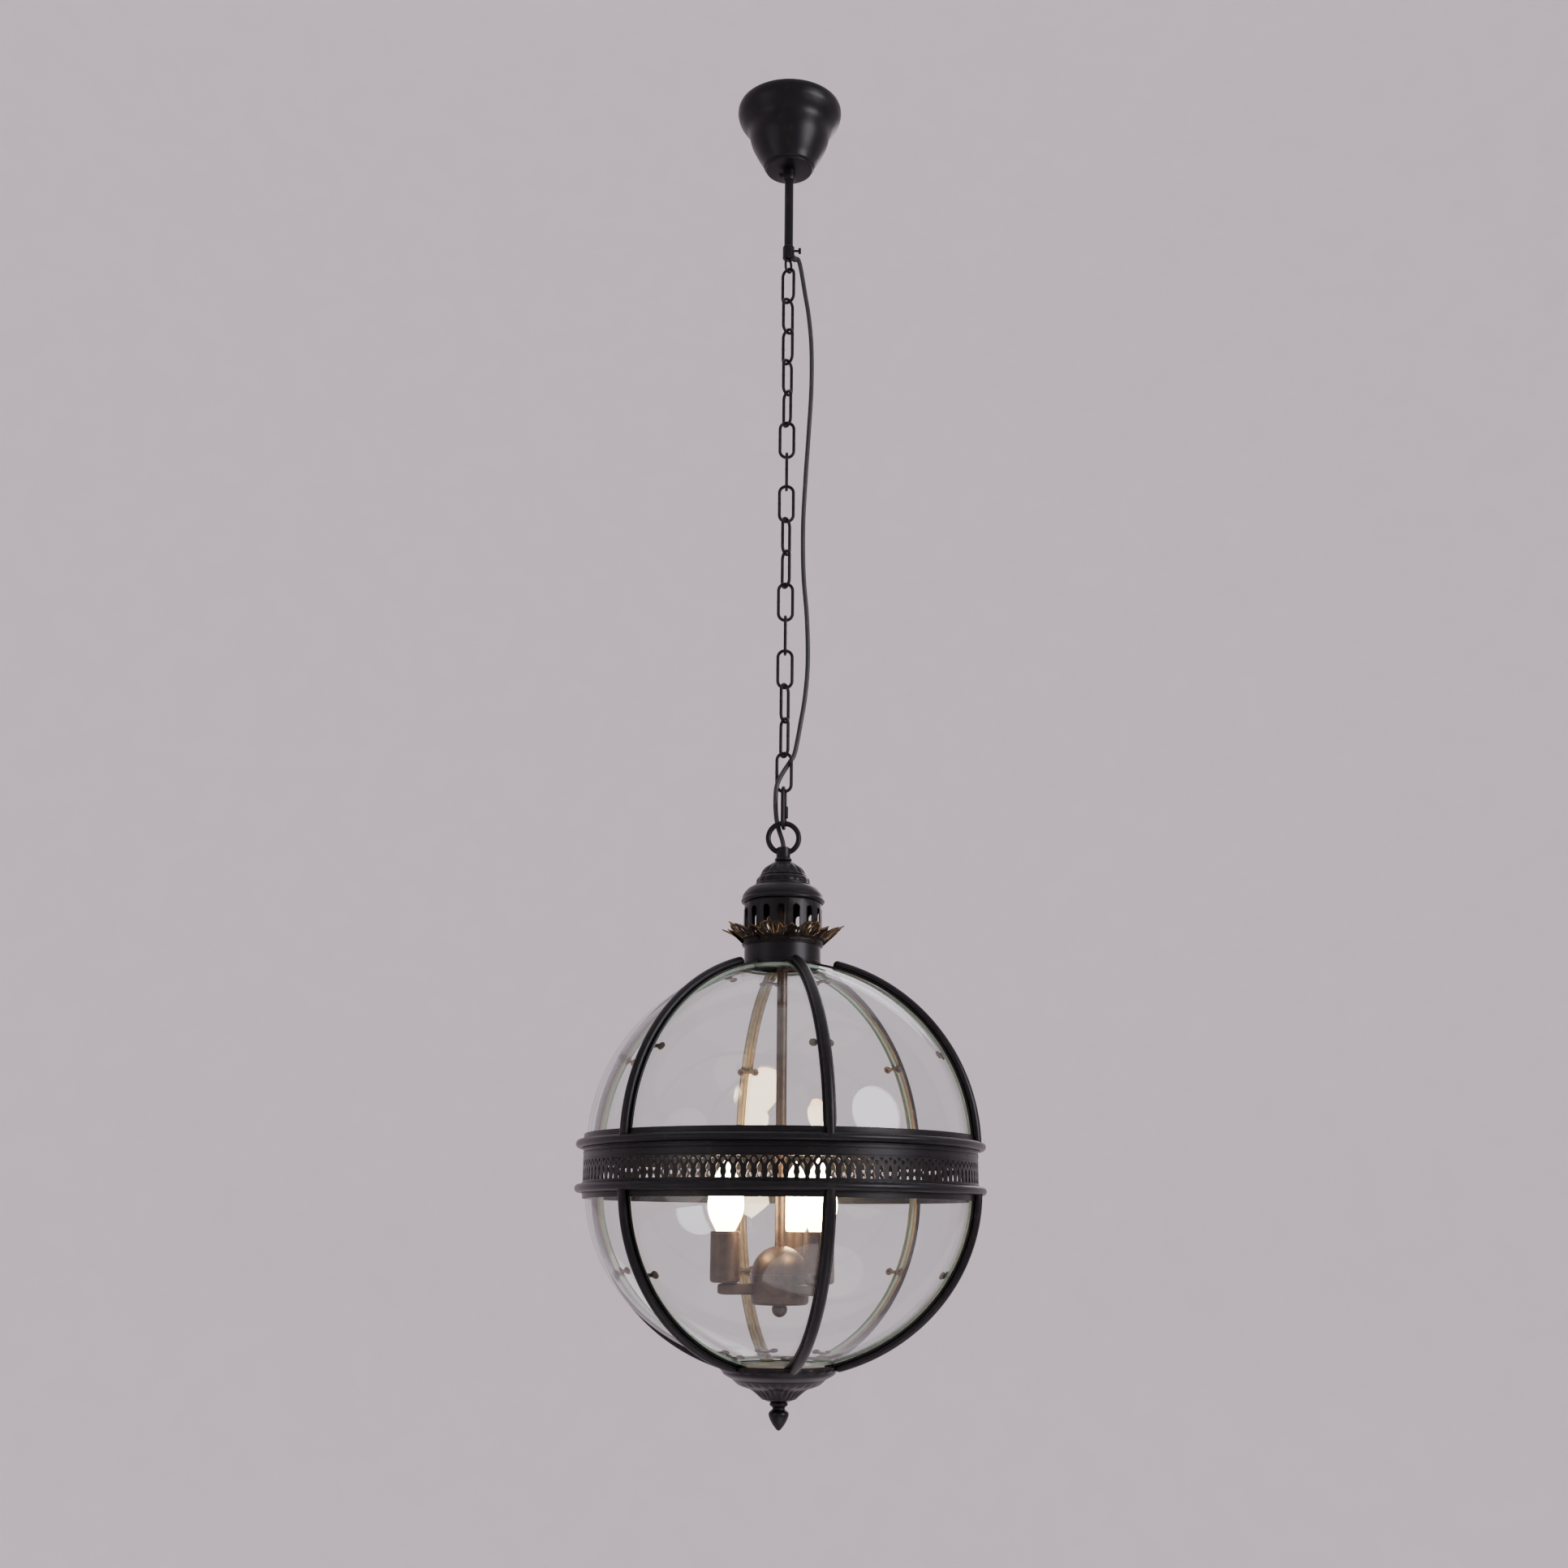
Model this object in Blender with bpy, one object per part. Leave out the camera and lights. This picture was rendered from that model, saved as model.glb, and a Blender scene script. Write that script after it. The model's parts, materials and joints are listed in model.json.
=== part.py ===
"""A hanging lantern: a round glass globe in a metal cage, hung from a ceiling canopy by a chain.

Metres, +Z up. The origin is the middle of the face that lies on the ceiling. The front is towards -Y.
Azimuths are in degrees, from the front round towards +X.
"""

import math

import bmesh
import bpy
from mathutils import Matrix, Vector

FIT = 0.0003  # gap between pieces that touch

# Ceiling plate and canopy
PLATE_R = 0.042
PLATE_T = 0.0025
CANOPY_R = 0.059
CANOPY_H = 0.080
CANOPY_BASE_R = 0.0266
CANOPY_WALL = 0.0012

# Stem
STEM_R = 0.005
STEM_BORE_R = 0.004
STEM_SHOWN = 0.0974  # from the canopy down to the coupler
COUPLER_R = 0.0066
COUPLER_H = 0.015
EYE_LENGTH = 0.0187
EYE_WIDTH = 0.0135
EYE_WIRE = 0.0030
EYE_TURN = 54.0

# Chain. A turn of 0 is a link seen face-on from the front.
LINK_LENGTH = 0.0450
LINK_WIDTH = 0.0185
LINK_WIRE = 0.0035
LINK_TURNS = (-36, 48, -48, 54, 120, 0, 90, 0, 60, 120, 0, 90, 0, 60, 120, 0)

# Quick link and hanging loop
QUICK_LENGTH = 0.0465
QUICK_WIDTH = 0.0180
QUICK_WIRE = 0.0040
QUICK_TURN = 80.0
QUICK_NUT_R = 0.0034
LOOP_R = 0.0184
LOOP_WIRE = 0.0056
NECK_R = 0.00735
NECK_H = 0.0105
FLANGE_R = 0.0089
FLANGE_H = 0.0040
SHANK_H = 0.016

# Supply cord
CORD_R = 0.0025
CORD_BEND_R = 0.010
CORD_SHIFT = -0.0012  # how far from the stem's axis it enters the coupler

# Crown, vent and coronet
CROWN_R = 0.0425
CROWN_H = 0.0433
CROWN_WALL = 0.0015
VENT_R = 0.0392
VENT_H = 0.0430  # from the collar up to the crown's rim
VENT_WALL = 0.0010
VENT_SLOTS = 16
VENT_SLOT_W = 0.0074
CORONET_R = 0.0645
CORONET_H = 0.0190
CORONET_LEAVES = 16
COLLAR_R = 0.0386
COLLAR_H = 0.0196

# Globe. Each half is part of an ellipse turned round Z, on the bars' outer face.
RIBS = 6
RIB_TURN = 13.0
BAR_R = 0.1922
UPPER_B = 0.1835  # the half's height, from the edge of the belt to its pole
LOWER_B = 0.1690
BELT_EDGE = 0.0200  # where both ellipses stand, above and below the belt's middle
BAR_W = 0.0125
BAR_T = 0.0020
ROD_R = 0.0045
ROD_RISE = 0.0025  # from the bar's outer face up to the rod's middle
ROD_TOP_R = 0.0565
ROD_FOOT_R = 0.0586
GLASS_T = 0.0030
PANE_GAP = 0.0018  # from the middle of a rib to the edge of a pane
CLIP_SPACING = 0.0155
CLIP_LOBE_R = 0.0040
CLIP_T = 0.0018
CLIP_LEAN = 0.145  # how far a clip's ends bend in, for each metre out

# Belt
BELT_R = BAR_R + 0.0001
BELT_HALF_H = 0.0305
BEAD_OFFSET = 0.0210
BEAD_R = 0.0040
BELT_WALL = 0.0012
GALLERY_TOP = 0.0130
GALLERY_FOOT = -0.0167
WINDOW_TOP = 0.0047
WINDOW_FOOT = -0.0140
WINDOWS = 30

# Base
BASE_RIM_R = 0.0565
BASE_RIM_Z = -0.1810
BASE_H = 0.0350
BASE_WALL = 0.0015
FINIAL_R = 0.0097
FINIAL_H = 0.0257

# Candle cluster
ROD_TUBE_R = 0.00525
ROD_TUBE_BORE_R = 0.0034
CUP_R = 0.0280
CUP_TOP_Z = -0.0730
CUP_FOOT_Z = -0.1280
CUP_WALL = 0.0015
ARM_TURN = 43.0
ARM_REACH = 0.0540
ARM_W = 0.0120
ARM_H = 0.0105
ARM_TOP_Z = -0.1080
SLEEVE_R = 0.0145
SLEEVE_H = 0.0480
SOCKET_R = 0.0073
BULB_R = 0.0175
BULB_H = 0.0720
BULB_BASE_R = 0.0067
KNOB_R = 0.0075

# Heights that follow from the sizes above
COUPLER_TOP = -CANOPY_H - STEM_SHOWN
COUPLER_FOOT = COUPLER_TOP - COUPLER_H
EYE_FOOT = COUPLER_FOOT + 0.0015 - EYE_LENGTH
LINK_PITCH = LINK_LENGTH - 2 * LINK_WIRE - 2 * FIT
LINK_TOP = EYE_FOOT + EYE_WIRE + FIT + LINK_WIRE
CHAIN_FOOT = LINK_TOP - (len(LINK_TURNS) - 1) * LINK_PITCH - LINK_LENGTH
QUICK_TOP = CHAIN_FOOT + LINK_WIRE + FIT + QUICK_WIRE
QUICK_FOOT = QUICK_TOP - QUICK_LENGTH
LOOP_Z = QUICK_FOOT + QUICK_WIRE + FIT + LOOP_WIRE - LOOP_R
NECK_TOP = LOOP_Z - math.sqrt((LOOP_R - LOOP_WIRE) ** 2 - NECK_R**2)
NECK_FOOT = NECK_TOP - NECK_H
CROWN_TOP = NECK_FOOT - FLANGE_H - FIT
CROWN_FOOT = CROWN_TOP - CROWN_H
COLLAR_TOP = CROWN_FOOT - VENT_H
COLLAR_FOOT = COLLAR_TOP - COLLAR_H
BELT_Z = COLLAR_FOOT - BELT_EDGE - UPPER_B * math.sqrt(1 - (COLLAR_R / BAR_R) ** 2)
BASE_FOOT = BELT_Z + BASE_RIM_Z - BASE_H
SHANK_FOOT = CROWN_TOP - SHANK_H
ARM_TOP = BELT_Z + ARM_TOP_Z
SLEEVE_FOOT = ARM_TOP + FIT


def paint(obj, colour, metallic, roughness, transmission=0.0, glow=0.0):
    material = bpy.data.materials.new(obj.name)
    material.use_nodes = True
    shader = material.node_tree.nodes["Principled BSDF"]
    shader.inputs["Base Color"].default_value = (*colour, 1.0)
    shader.inputs["Metallic"].default_value = metallic
    shader.inputs["Roughness"].default_value = roughness
    shader.inputs["Transmission Weight"].default_value = transmission
    shader.inputs["Emission Color"].default_value = (1.0, 0.75, 0.45, 1.0)
    shader.inputs["Emission Strength"].default_value = glow
    obj.data.materials.clear()
    obj.data.materials.append(material)
    return obj


def black(obj):
    return paint(obj, (0.012, 0.011, 0.011), 0.7, 0.38)


def bronze(obj):
    return paint(obj, (0.16, 0.11, 0.07), 0.8, 0.45)


def steel(obj):
    return paint(obj, (0.55, 0.55, 0.56), 1.0, 0.35)


def solid(name, points, faces):
    """One object from points and faces, its faces turned outwards."""
    mesh = bpy.data.meshes.new(name)
    mesh.from_pydata([tuple(p) for p in points], [], faces)
    shape = bmesh.new()
    shape.from_mesh(mesh)
    bmesh.ops.recalc_face_normals(shape, faces=shape.faces)
    shape.to_mesh(mesh)
    shape.free()
    obj = bpy.data.objects.new(name, mesh)
    bpy.context.scene.collection.objects.link(obj)
    return obj


def polar(radius, azimuth, z):
    turn = math.radians(azimuth)
    return Vector((radius * math.sin(turn), -radius * math.cos(turn), z))


def revolve(name, profile, steps, z=0.0, flutes=None):
    """Turns a closed outline of (radius, height) round Z. A radius of 0 is on the axis.

    flutes maps an outline point's number to how far its flutes cut in; there is one flute in 2 steps.
    """
    flutes = flutes or {}
    points, rings = [], []
    for number, (radius, height) in enumerate(profile):
        if radius == 0:
            rings.append([len(points)] * steps)
            points.append((0, 0, z + height))
            continue
        rings.append(list(range(len(points), len(points) + steps)))
        for step in range(steps):
            cut = flutes.get(number, 0.0) if step % 2 == 0 else 0.0
            points.append(polar(radius - cut, 360 * step / steps, z + height))
    faces = []
    for first, second in zip(rings, rings[1:] + rings[:1]):
        for step in range(steps):
            after = (step + 1) % steps
            corners = [first[step], first[after], second[after], second[step]]
            face = list(dict.fromkeys(corners))
            if len(face) > 2:
                faces.append(face)
    return solid(name, points, faces)


def tube(name, path, radius, sides, closed, across=None, turn=0.0):
    """A round wire along a path. across is the normal of a flat path; without it the wire doesn't twist."""
    count = len(path)
    tangents = []
    for i in range(count):
        before = path[i - 1] if closed or i else path[0]
        after = path[(i + 1) % count] if closed or i < count - 1 else path[-1]
        tangents.append((after - before).normalized())
    side = across or tangents[0].orthogonal().normalized()
    points = []
    for centre, tangent in zip(path, tangents):
        side = across or (side - tangent * side.dot(tangent)).normalized()
        out = tangent.cross(side).normalized()
        for k in range(sides):
            angle = 2 * math.pi * k / sides + turn
            points.append(centre + radius * (math.cos(angle) * side + math.sin(angle) * out))
    faces = []
    for i in range(count if closed else count - 1):
        j = (i + 1) % count
        for k in range(sides):
            m = (k + 1) % sides
            faces.append((i * sides + k, i * sides + m, j * sides + m, j * sides + k))
    if not closed:
        faces.append(list(range(sides)))
        faces.append(list(range((count - 1) * sides, count * sides)))
    return solid(name, points, faces)


def extrude(name, outline, depth, place):
    """A flat outline of (x, y) made depth thick, half to each side, and put in place by a matrix."""
    count = len(outline)
    points = [place @ Vector((x, y, z)) for z in (-depth / 2, depth / 2) for x, y in outline]
    faces = [list(range(count)), list(range(count, 2 * count))]
    faces += [(k, (k + 1) % count, count + (k + 1) % count, count + k) for k in range(count)]
    return solid(name, points, faces)


def block(name, low, high):
    x, y, z = ((a + b) / 2 for a, b in zip(low, high))
    w, d, h = (b - a for a, b in zip(low, high))
    outline = [(-w / 2, -d / 2), (w / 2, -d / 2), (w / 2, d / 2), (-w / 2, d / 2)]
    return extrude(name, outline, h, Matrix.Translation((x, y, z)))


def disc(radius, sides, turn=0.0):
    angles = [2 * math.pi * k / sides + turn for k in range(sides)]
    return [(radius * math.cos(a), radius * math.sin(a)) for a in angles]


def rod(name, start, end, radius, sides=16):
    """A solid round bar between two points."""
    start, end = Vector(start), Vector(end)
    towards = (end - start).to_track_quat("Z", "Y").to_matrix().to_4x4()
    place = Matrix.Translation((start + end) / 2) @ towards
    return extrude(name, disc(radius, sides), (end - start).length, place)


def combine(target, others, operation):
    """Joins others to target, or cuts them from it, and keeps only target."""
    group = bpy.data.collections.new("others")
    bpy.context.scene.collection.children.link(group)
    for other in others:
        bpy.context.scene.collection.objects.unlink(other)
        group.objects.link(other)
    modifier = target.modifiers.new(operation, "BOOLEAN")
    modifier.operation = operation
    modifier.solver = "EXACT"
    modifier.operand_type = "COLLECTION"
    modifier.collection = group
    graph = bpy.context.evaluated_depsgraph_get()
    mesh = bpy.data.meshes.new_from_object(target.evaluated_get(graph))
    target.modifiers.clear()
    target.data = mesh
    for other in others:
        bpy.data.objects.remove(other)
    bpy.data.collections.remove(group)
    return target


def join(target, *others):
    return combine(target, list(others), "UNION")


def cut(target, *others):
    return combine(target, list(others), "DIFFERENCE")


def stadium(length, width, bend_steps):
    """The middle line of a link: two straight sides and two round ends, as (across, height)."""
    radius, straight = width / 2, length / 2 - width / 2
    line = []
    for centre, start in ((straight, 0.0), (-straight, math.pi)):
        for k in range(bend_steps + 1):
            angle = start + math.pi * k / bend_steps
            line.append((radius * math.cos(angle), centre + radius * math.sin(angle)))
    return line


def link(name, length, width, wire, middle, turn, sides=6, bend_steps=6):
    """A closed wire link hanging in the upright plane that is turned from face-on by turn."""
    along = Vector((math.cos(math.radians(turn)), math.sin(math.radians(turn)), 0))
    across = Vector((-along.y, along.x, 0))
    line = stadium(length - wire, width - wire, bend_steps)
    path = [along * u + Vector((0, 0, middle + v)) for u, v in line]
    return tube(name, path, wire / 2, sides, True, across)


def clear_scene():
    for obj in list(bpy.data.objects):
        bpy.data.objects.remove(obj)


def ceiling_fixings():
    plate = rod("ceiling_plate", (0, 0, 0), (0, 0, -PLATE_T), PLATE_R, 40)
    slots = [rod("slot", (x, 0, 0.001), (x, 0, -PLATE_T - 0.001), 0.0025, 12) for x in (-0.033, 0.033)]
    entry = rod("entry", (0, -0.026, 0.001), (0, -0.026, -PLATE_T - 0.001), 0.006, 16)
    steel(cut(plate, entry, *slots))

    top = -PLATE_T - FIT
    outline = [(-0.023, 0), (-0.014, 0), (-0.014, -0.0332), (0.014, -0.0332), (0.014, 0), (0.023, 0)]
    outline += [(0.023, -0.002), (0.016, -0.002), (0.016, -0.0352), (-0.016, -0.0352), (-0.016, -0.002)]
    outline += [(-0.023, -0.002)]
    upright = Matrix.Translation((0, 0, top)) @ Matrix.Rotation(math.pi / 2, 4, "X")
    stirrup = extrude("stem_stirrup", outline, 0.014, upright)
    steel(cut(stirrup, rod("bore", (0, 0, top - 0.031), (0, 0, top - 0.037), STEM_R + FIT)))

    body = block("terminal_block", (-0.013, 0.0210, top - 0.0225), (0.013, 0.0350, top))
    deep = top - 0.010
    wells = [rod("well", (x, 0.0260, deep), (x, 0.0400, deep), 0.0028, 10) for x in (-0.007, 0.007)]
    paint(cut(body, *wells), (0.75, 0.74, 0.70), 0.0, 0.5)
    return top - 0.0332


def canopy_parts():
    shoulder, base = CANOPY_R, CANOPY_BASE_R
    drop = CANOPY_H / 0.080
    outer = [(shoulder - 0.0030, -0.0005), (shoulder - 0.0004, -0.0035), (shoulder, -0.0080 * drop)]
    outer += [(shoulder - 0.0018, -0.0145 * drop), (shoulder - 0.0058, -0.0210 * drop)]
    waist = shoulder - 0.0120
    for share, z in ((1.0, -0.0300), (0.70, -0.0450), (0.42, -0.0600), (0.12, -0.0745)):
        outer.append((base + 0.0020 + (waist - base - 0.0020) * share, z * drop))
    outer += [(base, -0.0787 * drop), (base - 0.0024, -CANOPY_H)]
    inner = [(outer[k][0] - CANOPY_WALL, outer[k][1]) for k in (0, 2, 4, 5, 6, 7)]
    ceiling = -CANOPY_H + CANOPY_WALL
    inner.append((base - 0.0030, ceiling))
    hole = [(STEM_R + FIT, -CANOPY_H), (STEM_R + FIT, ceiling)]
    black(revolve("canopy", outer + hole + inner[::-1], 24))

    top = -CANOPY_H - FIT
    bore, wall = STEM_R + FIT, STEM_R + 0.0018
    profile = [(bore, 0), (wall, 0), (wall, -0.0100), (wall - 0.0008, -0.0125), (bore, -0.0125)]
    collar = revolve("canopy_collar", profile, 20, top)
    hole = rod("hole", (-0.012, 0, top - 0.0050), (-0.002, 0, top - 0.0050), 0.0017, 10)
    black(cut(collar, hole))
    screw = rod("canopy_set_screw", (-STEM_R - FIT, 0, top - 0.0050), (-0.0100, 0, top - 0.0050), 0.0014, 10)
    head = rod("head", (-0.0075, 0, top - 0.0050), (-0.0115, 0, top - 0.0050), 0.0022, 12)
    black(join(screw, head))


def stem_parts(bridge_top):
    nut_foot, foot = bridge_top + FIT, COUPLER_TOP - 0.0083
    tip = nut_foot + 0.0058
    pipe = revolve("stem_tube", [(STEM_BORE_R, tip), (STEM_R, tip), (STEM_R, foot), (STEM_BORE_R, foot)], 20)
    ring = extrude("nut", disc(0.0085, 6), 0.0045, Matrix.Translation((0, 0, nut_foot + 0.00225)))
    core = rod("core", (0, 0, nut_foot - 0.001), (0, 0, nut_foot + 0.006), STEM_R - 0.0003, 16)
    steel_nut = cut(ring, core)
    black(join(pipe, steel_nut))

    bore = STEM_R + FIT
    profile = [(bore, 0), (COUPLER_R, 0), (COUPLER_R, -COUPLER_H), (0, -COUPLER_H), (0, -COUPLER_H + 0.002)]
    profile += [(bore, -COUPLER_H + 0.002)]
    sleeve = revolve("stem_coupler", profile, 24, COUPLER_TOP)
    middle = EYE_FOOT + EYE_LENGTH / 2
    eye = link("eye", EYE_LENGTH, EYE_WIDTH, EYE_WIRE, middle, EYE_TURN, 8)
    start, lean = cord_outlet()
    outlet = rod("outlet", start - lean * 0.0012, start + lean * 0.016, CORD_R + 0.0005, 14)
    tapped = rod("tapped", (0.003, 0, COUPLER_TOP - 0.0042), (0.012, 0, COUPLER_TOP - 0.0042), 0.0018, 10)
    black(cut(join(sleeve, eye), outlet, tapped))

    z = COUPLER_TOP - 0.0042
    screw = rod("coupler_thumbscrew", (STEM_R + FIT, 0, z), (0.0125, 0, z), 0.0014, 10)
    head = rod("head", (0.0110, 0, z), (0.0140, 0, z), 0.0035, 14)
    black(join(screw, head))


def cord_outlet():
    """Where the cord straightens inside the coupler, and the direction in which it leaves."""
    turn = math.radians(50)
    return cord_bend(50), Vector((math.sin(turn), 0, -math.cos(turn)))


def cord_bend(degrees):
    """A point of the cord's bend inside the coupler, this far round from hanging straight."""
    turn = math.radians(degrees)
    x = CORD_SHIFT + CORD_BEND_R * (1 - math.cos(turn))
    return Vector((x, 0, COUPLER_TOP - 0.003 - CORD_BEND_R * math.sin(turn)))


def smooth(points, steps):
    """A smooth line through the points, with steps pieces between each two."""
    ends = [2 * points[0] - points[1], *points, 2 * points[-1] - points[-2]]
    line = []
    for a, b, c, d in zip(ends, ends[1:], ends[2:], ends[3:]):
        for k in range(steps):
            t = k / steps
            bend, swing = 2 * a - 5 * b + 4 * c - d, 3 * b - a - 3 * c + d
            line.append(0.5 * (2 * b + (c - a) * t + bend * t**2 + swing * t**3))
    return line + [points[-1]]


def cord_route():
    """The cord's middle line, from the terminal block to the top of the lantern's centre tube."""
    route = [Vector((0, 0.0207, -0.0200)), Vector((0, 0.0150, -0.0200)), Vector((0, 0.0100, -0.0200))]
    for degrees in (30, 60, 90):
        turn = math.radians(degrees)
        y, z = CORD_BEND_R * (1 - math.sin(turn)), CORD_BEND_R * (math.cos(turn) - 3)
        route.append(Vector((0, y, z)))
    route += [Vector((0, 0, -0.0450)), Vector((-0.0010, 0, COUPLER_TOP + 0.010))]
    route += [cord_bend(degrees) for degrees in (0, 15, 32, 50)]
    start, lean = cord_outlet()
    route += [start + lean * 0.006, start + lean * 0.013]

    def beside(share, x, y):
        return Vector((x, y, LINK_TOP + share * (CHAIN_FOOT - LINK_TOP)))

    route += [beside(0.055, 0.0190, 0.000), beside(0.10, 0.0232, 0.001), beside(0.16, 0.0262, 0.002)]
    route += [beside(0.24, 0.0264, 0.003), beside(0.32, 0.0240, 0.003), beside(0.42, 0.0205, 0.003)]
    route += [beside(0.51, 0.0182, 0.003), beside(0.60, 0.0190, 0.004), beside(0.68, 0.0228, 0.005)]
    route += [beside(0.76, 0.0240, 0.006), beside(0.82, 0.0216, 0.0075), beside(0.87, 0.0170, 0.0085)]

    def from_link(x, y, z):
        return Vector((x, y, CHAIN_FOOT + z))

    route += [from_link(0.0112, 0.0082, 0.0465), from_link(0.0060, 0.0052, 0.0350)]
    route += [from_link(0.0000, 0.0000, 0.0240), from_link(-0.0048, -0.0042, 0.0140)]
    route += [from_link(-0.0078, -0.0062, 0.0040), from_link(-0.0085, -0.0048, -0.0080)]

    def from_loop(x, y, z):
        return Vector((x, y, LOOP_Z + z))

    route += [from_loop(-0.0082, 0.0010, 0.0290), from_loop(-0.0068, 0.0062, 0.0180)]
    route += [from_loop(-0.0042, 0.0066, 0.0080), from_loop(-0.0014, 0.0030, -0.0010)]
    route += [from_loop(0, 0.0004, -0.0090), Vector((0, 0, NECK_TOP - 0.006))]
    route += [Vector((0, 0, SHANK_FOOT + 0.004)), Vector((0, 0, SHANK_FOOT - 0.010))]
    return route


def cord_part():
    """The supply cord: a round bevelled curve along its route."""
    line = smooth(cord_route(), 2)
    curve = bpy.data.curves.new("supply_cord", "CURVE")
    curve.dimensions = "3D"
    curve.bevel_depth = CORD_R
    curve.bevel_resolution = 2
    curve.use_fill_caps = True
    spline = curve.splines.new("POLY")
    spline.points.add(len(line) - 1)
    for point, place in zip(spline.points, line):
        point.co = (*place, 1.0)
    obj = bpy.data.objects.new("supply_cord", curve)
    bpy.context.scene.collection.objects.link(obj)
    paint(obj, (0.02, 0.02, 0.02), 0.0, 0.6)


def chain_parts():
    for number, turn in enumerate(LINK_TURNS):
        middle = LINK_TOP - number * LINK_PITCH - LINK_LENGTH / 2
        black(link(f"chain_link_{number + 1:02d}", LINK_LENGTH, LINK_WIDTH, LINK_WIRE, middle, turn))
    middle = QUICK_TOP - QUICK_LENGTH / 2
    black(link("quick_link", QUICK_LENGTH, QUICK_WIDTH, QUICK_WIRE, middle, QUICK_TURN, 8))
    turn = math.radians(QUICK_TURN)
    leg = (QUICK_WIDTH - QUICK_WIRE) / 2
    x, y = leg * math.cos(turn), leg * math.sin(turn)
    place = Matrix.Translation((x, y, middle - 0.0030))
    nut = extrude("quick_link_nut", disc(QUICK_NUT_R, 6), 0.0130, place)
    black(cut(nut, rod("bore", (x, y, middle - 0.02), (x, y, middle + 0.02), QUICK_WIRE / 2 + FIT, 14)))


def loop_parts():
    path = [Vector((x, 0, LOOP_Z + z)) for x, z in disc(LOOP_R - LOOP_WIRE / 2, 24)]
    ring = tube("hanging_loop", path, LOOP_WIRE / 2, 8, True, Vector((0, 1, 0)))
    foot, flange = NECK_FOOT - FLANGE_H, NECK_FOOT
    profile = [(0, NECK_TOP), (NECK_R, NECK_TOP), (NECK_R, flange), (FLANGE_R - 0.0008, flange - 0.0004)]
    profile += [(FLANGE_R, flange - FLANGE_H / 2), (FLANGE_R - 0.0008, foot), (ROD_TUBE_R, foot)]
    profile += [(ROD_TUBE_R, SHANK_FOOT), (0, SHANK_FOOT)]
    hub = revolve("hub", profile, 18)
    bore = rod("bore", (0, 0, NECK_TOP + 0.004), (0, 0, SHANK_FOOT - 0.002), CORD_R + 0.0006, 12)
    black(cut(join(ring, hub), bore))


def crown_parts():
    scale, drop = CROWN_R / 0.0425, CROWN_H / 0.0433
    outline = [(0.0093, 0), (0.0128, -0.0025), (0.0178, -0.0055), (0.0205, -0.0085), (0.0226, -0.0118)]
    outline += [(0.0234, -0.0142), (0.0262, -0.0168), (0.0276, -0.0202), (0.0279, -0.0236), (0.0302, -0.0254)]
    outline += [(0.0342, -0.0274), (0.0372, -0.0298), (0.0400, -0.0335), (0.0418, -0.0370), (0.0425, -0.0405)]
    outline += [(0.0421, -0.0433)]
    outer = [(r * scale, z * drop) for r, z in outline]
    inner = [(outer[k][0] - CROWN_WALL, outer[k][1] - 0.0006) for k in (3, 5, 8, 12)]
    inner.append((outer[-1][0] - CROWN_WALL, outer[-1][1]))
    roof = [(ROD_TUBE_R + FIT, -CROWN_WALL), (outer[1][0] - 0.0015, -CROWN_WALL - 0.0032)]
    profile = [(ROD_TUBE_R + FIT, 0)] + outer + inner[::-1] + roof[::-1]
    flutes = {2: 0.0006, 3: 0.0010, 4: 0.0010, 5: 0.0006}
    black(revolve("crown_dome", profile, 28, CROWN_TOP, flutes))

    nut_top, nut_foot = CROWN_TOP - CROWN_WALL - 0.0045, SHANK_FOOT - 0.010
    place = Matrix.Translation((0, 0, (nut_top + nut_foot) / 2))
    nut = extrude("crown_nut", disc(0.0092, 6), nut_top - nut_foot, place)
    hole = rod("hole", (0, 0, nut_top + 0.001), (0, 0, nut_foot - 0.001), ROD_TUBE_R + FIT)
    steel(cut(nut, hole))

    top, foot = CROWN_FOOT + 0.0022, COLLAR_TOP + FIT
    inner_r = VENT_R - VENT_WALL
    gallery = revolve("vent_gallery", [(inner_r, top), (VENT_R, top), (VENT_R, foot), (inner_r, foot)], 32)
    slot_top, slot_foot = CROWN_FOOT - 0.0060, COLLAR_TOP + 0.0080
    slots = []
    for k in range(VENT_SLOTS):
        azimuth = -2.5 + 360 * k / VENT_SLOTS
        w, h = VENT_SLOT_W / 2, (slot_top - slot_foot) / 2 - VENT_SLOT_W / 2
        outline = [(w * math.cos(k * math.pi / 3), h + w * math.sin(k * math.pi / 3)) for k in range(4)]
        outline += [(-x, -z) for x, z in outline]
        spin = Matrix.Rotation(math.radians(azimuth), 4, "Z") @ Matrix.Rotation(math.pi / 2, 4, "X")
        place = Matrix.Translation(polar(VENT_R, azimuth, (slot_top + slot_foot) / 2)) @ spin
        slots.append(extrude("slot", outline, 0.006, place))
    black(cut(gallery, *slots))


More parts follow.
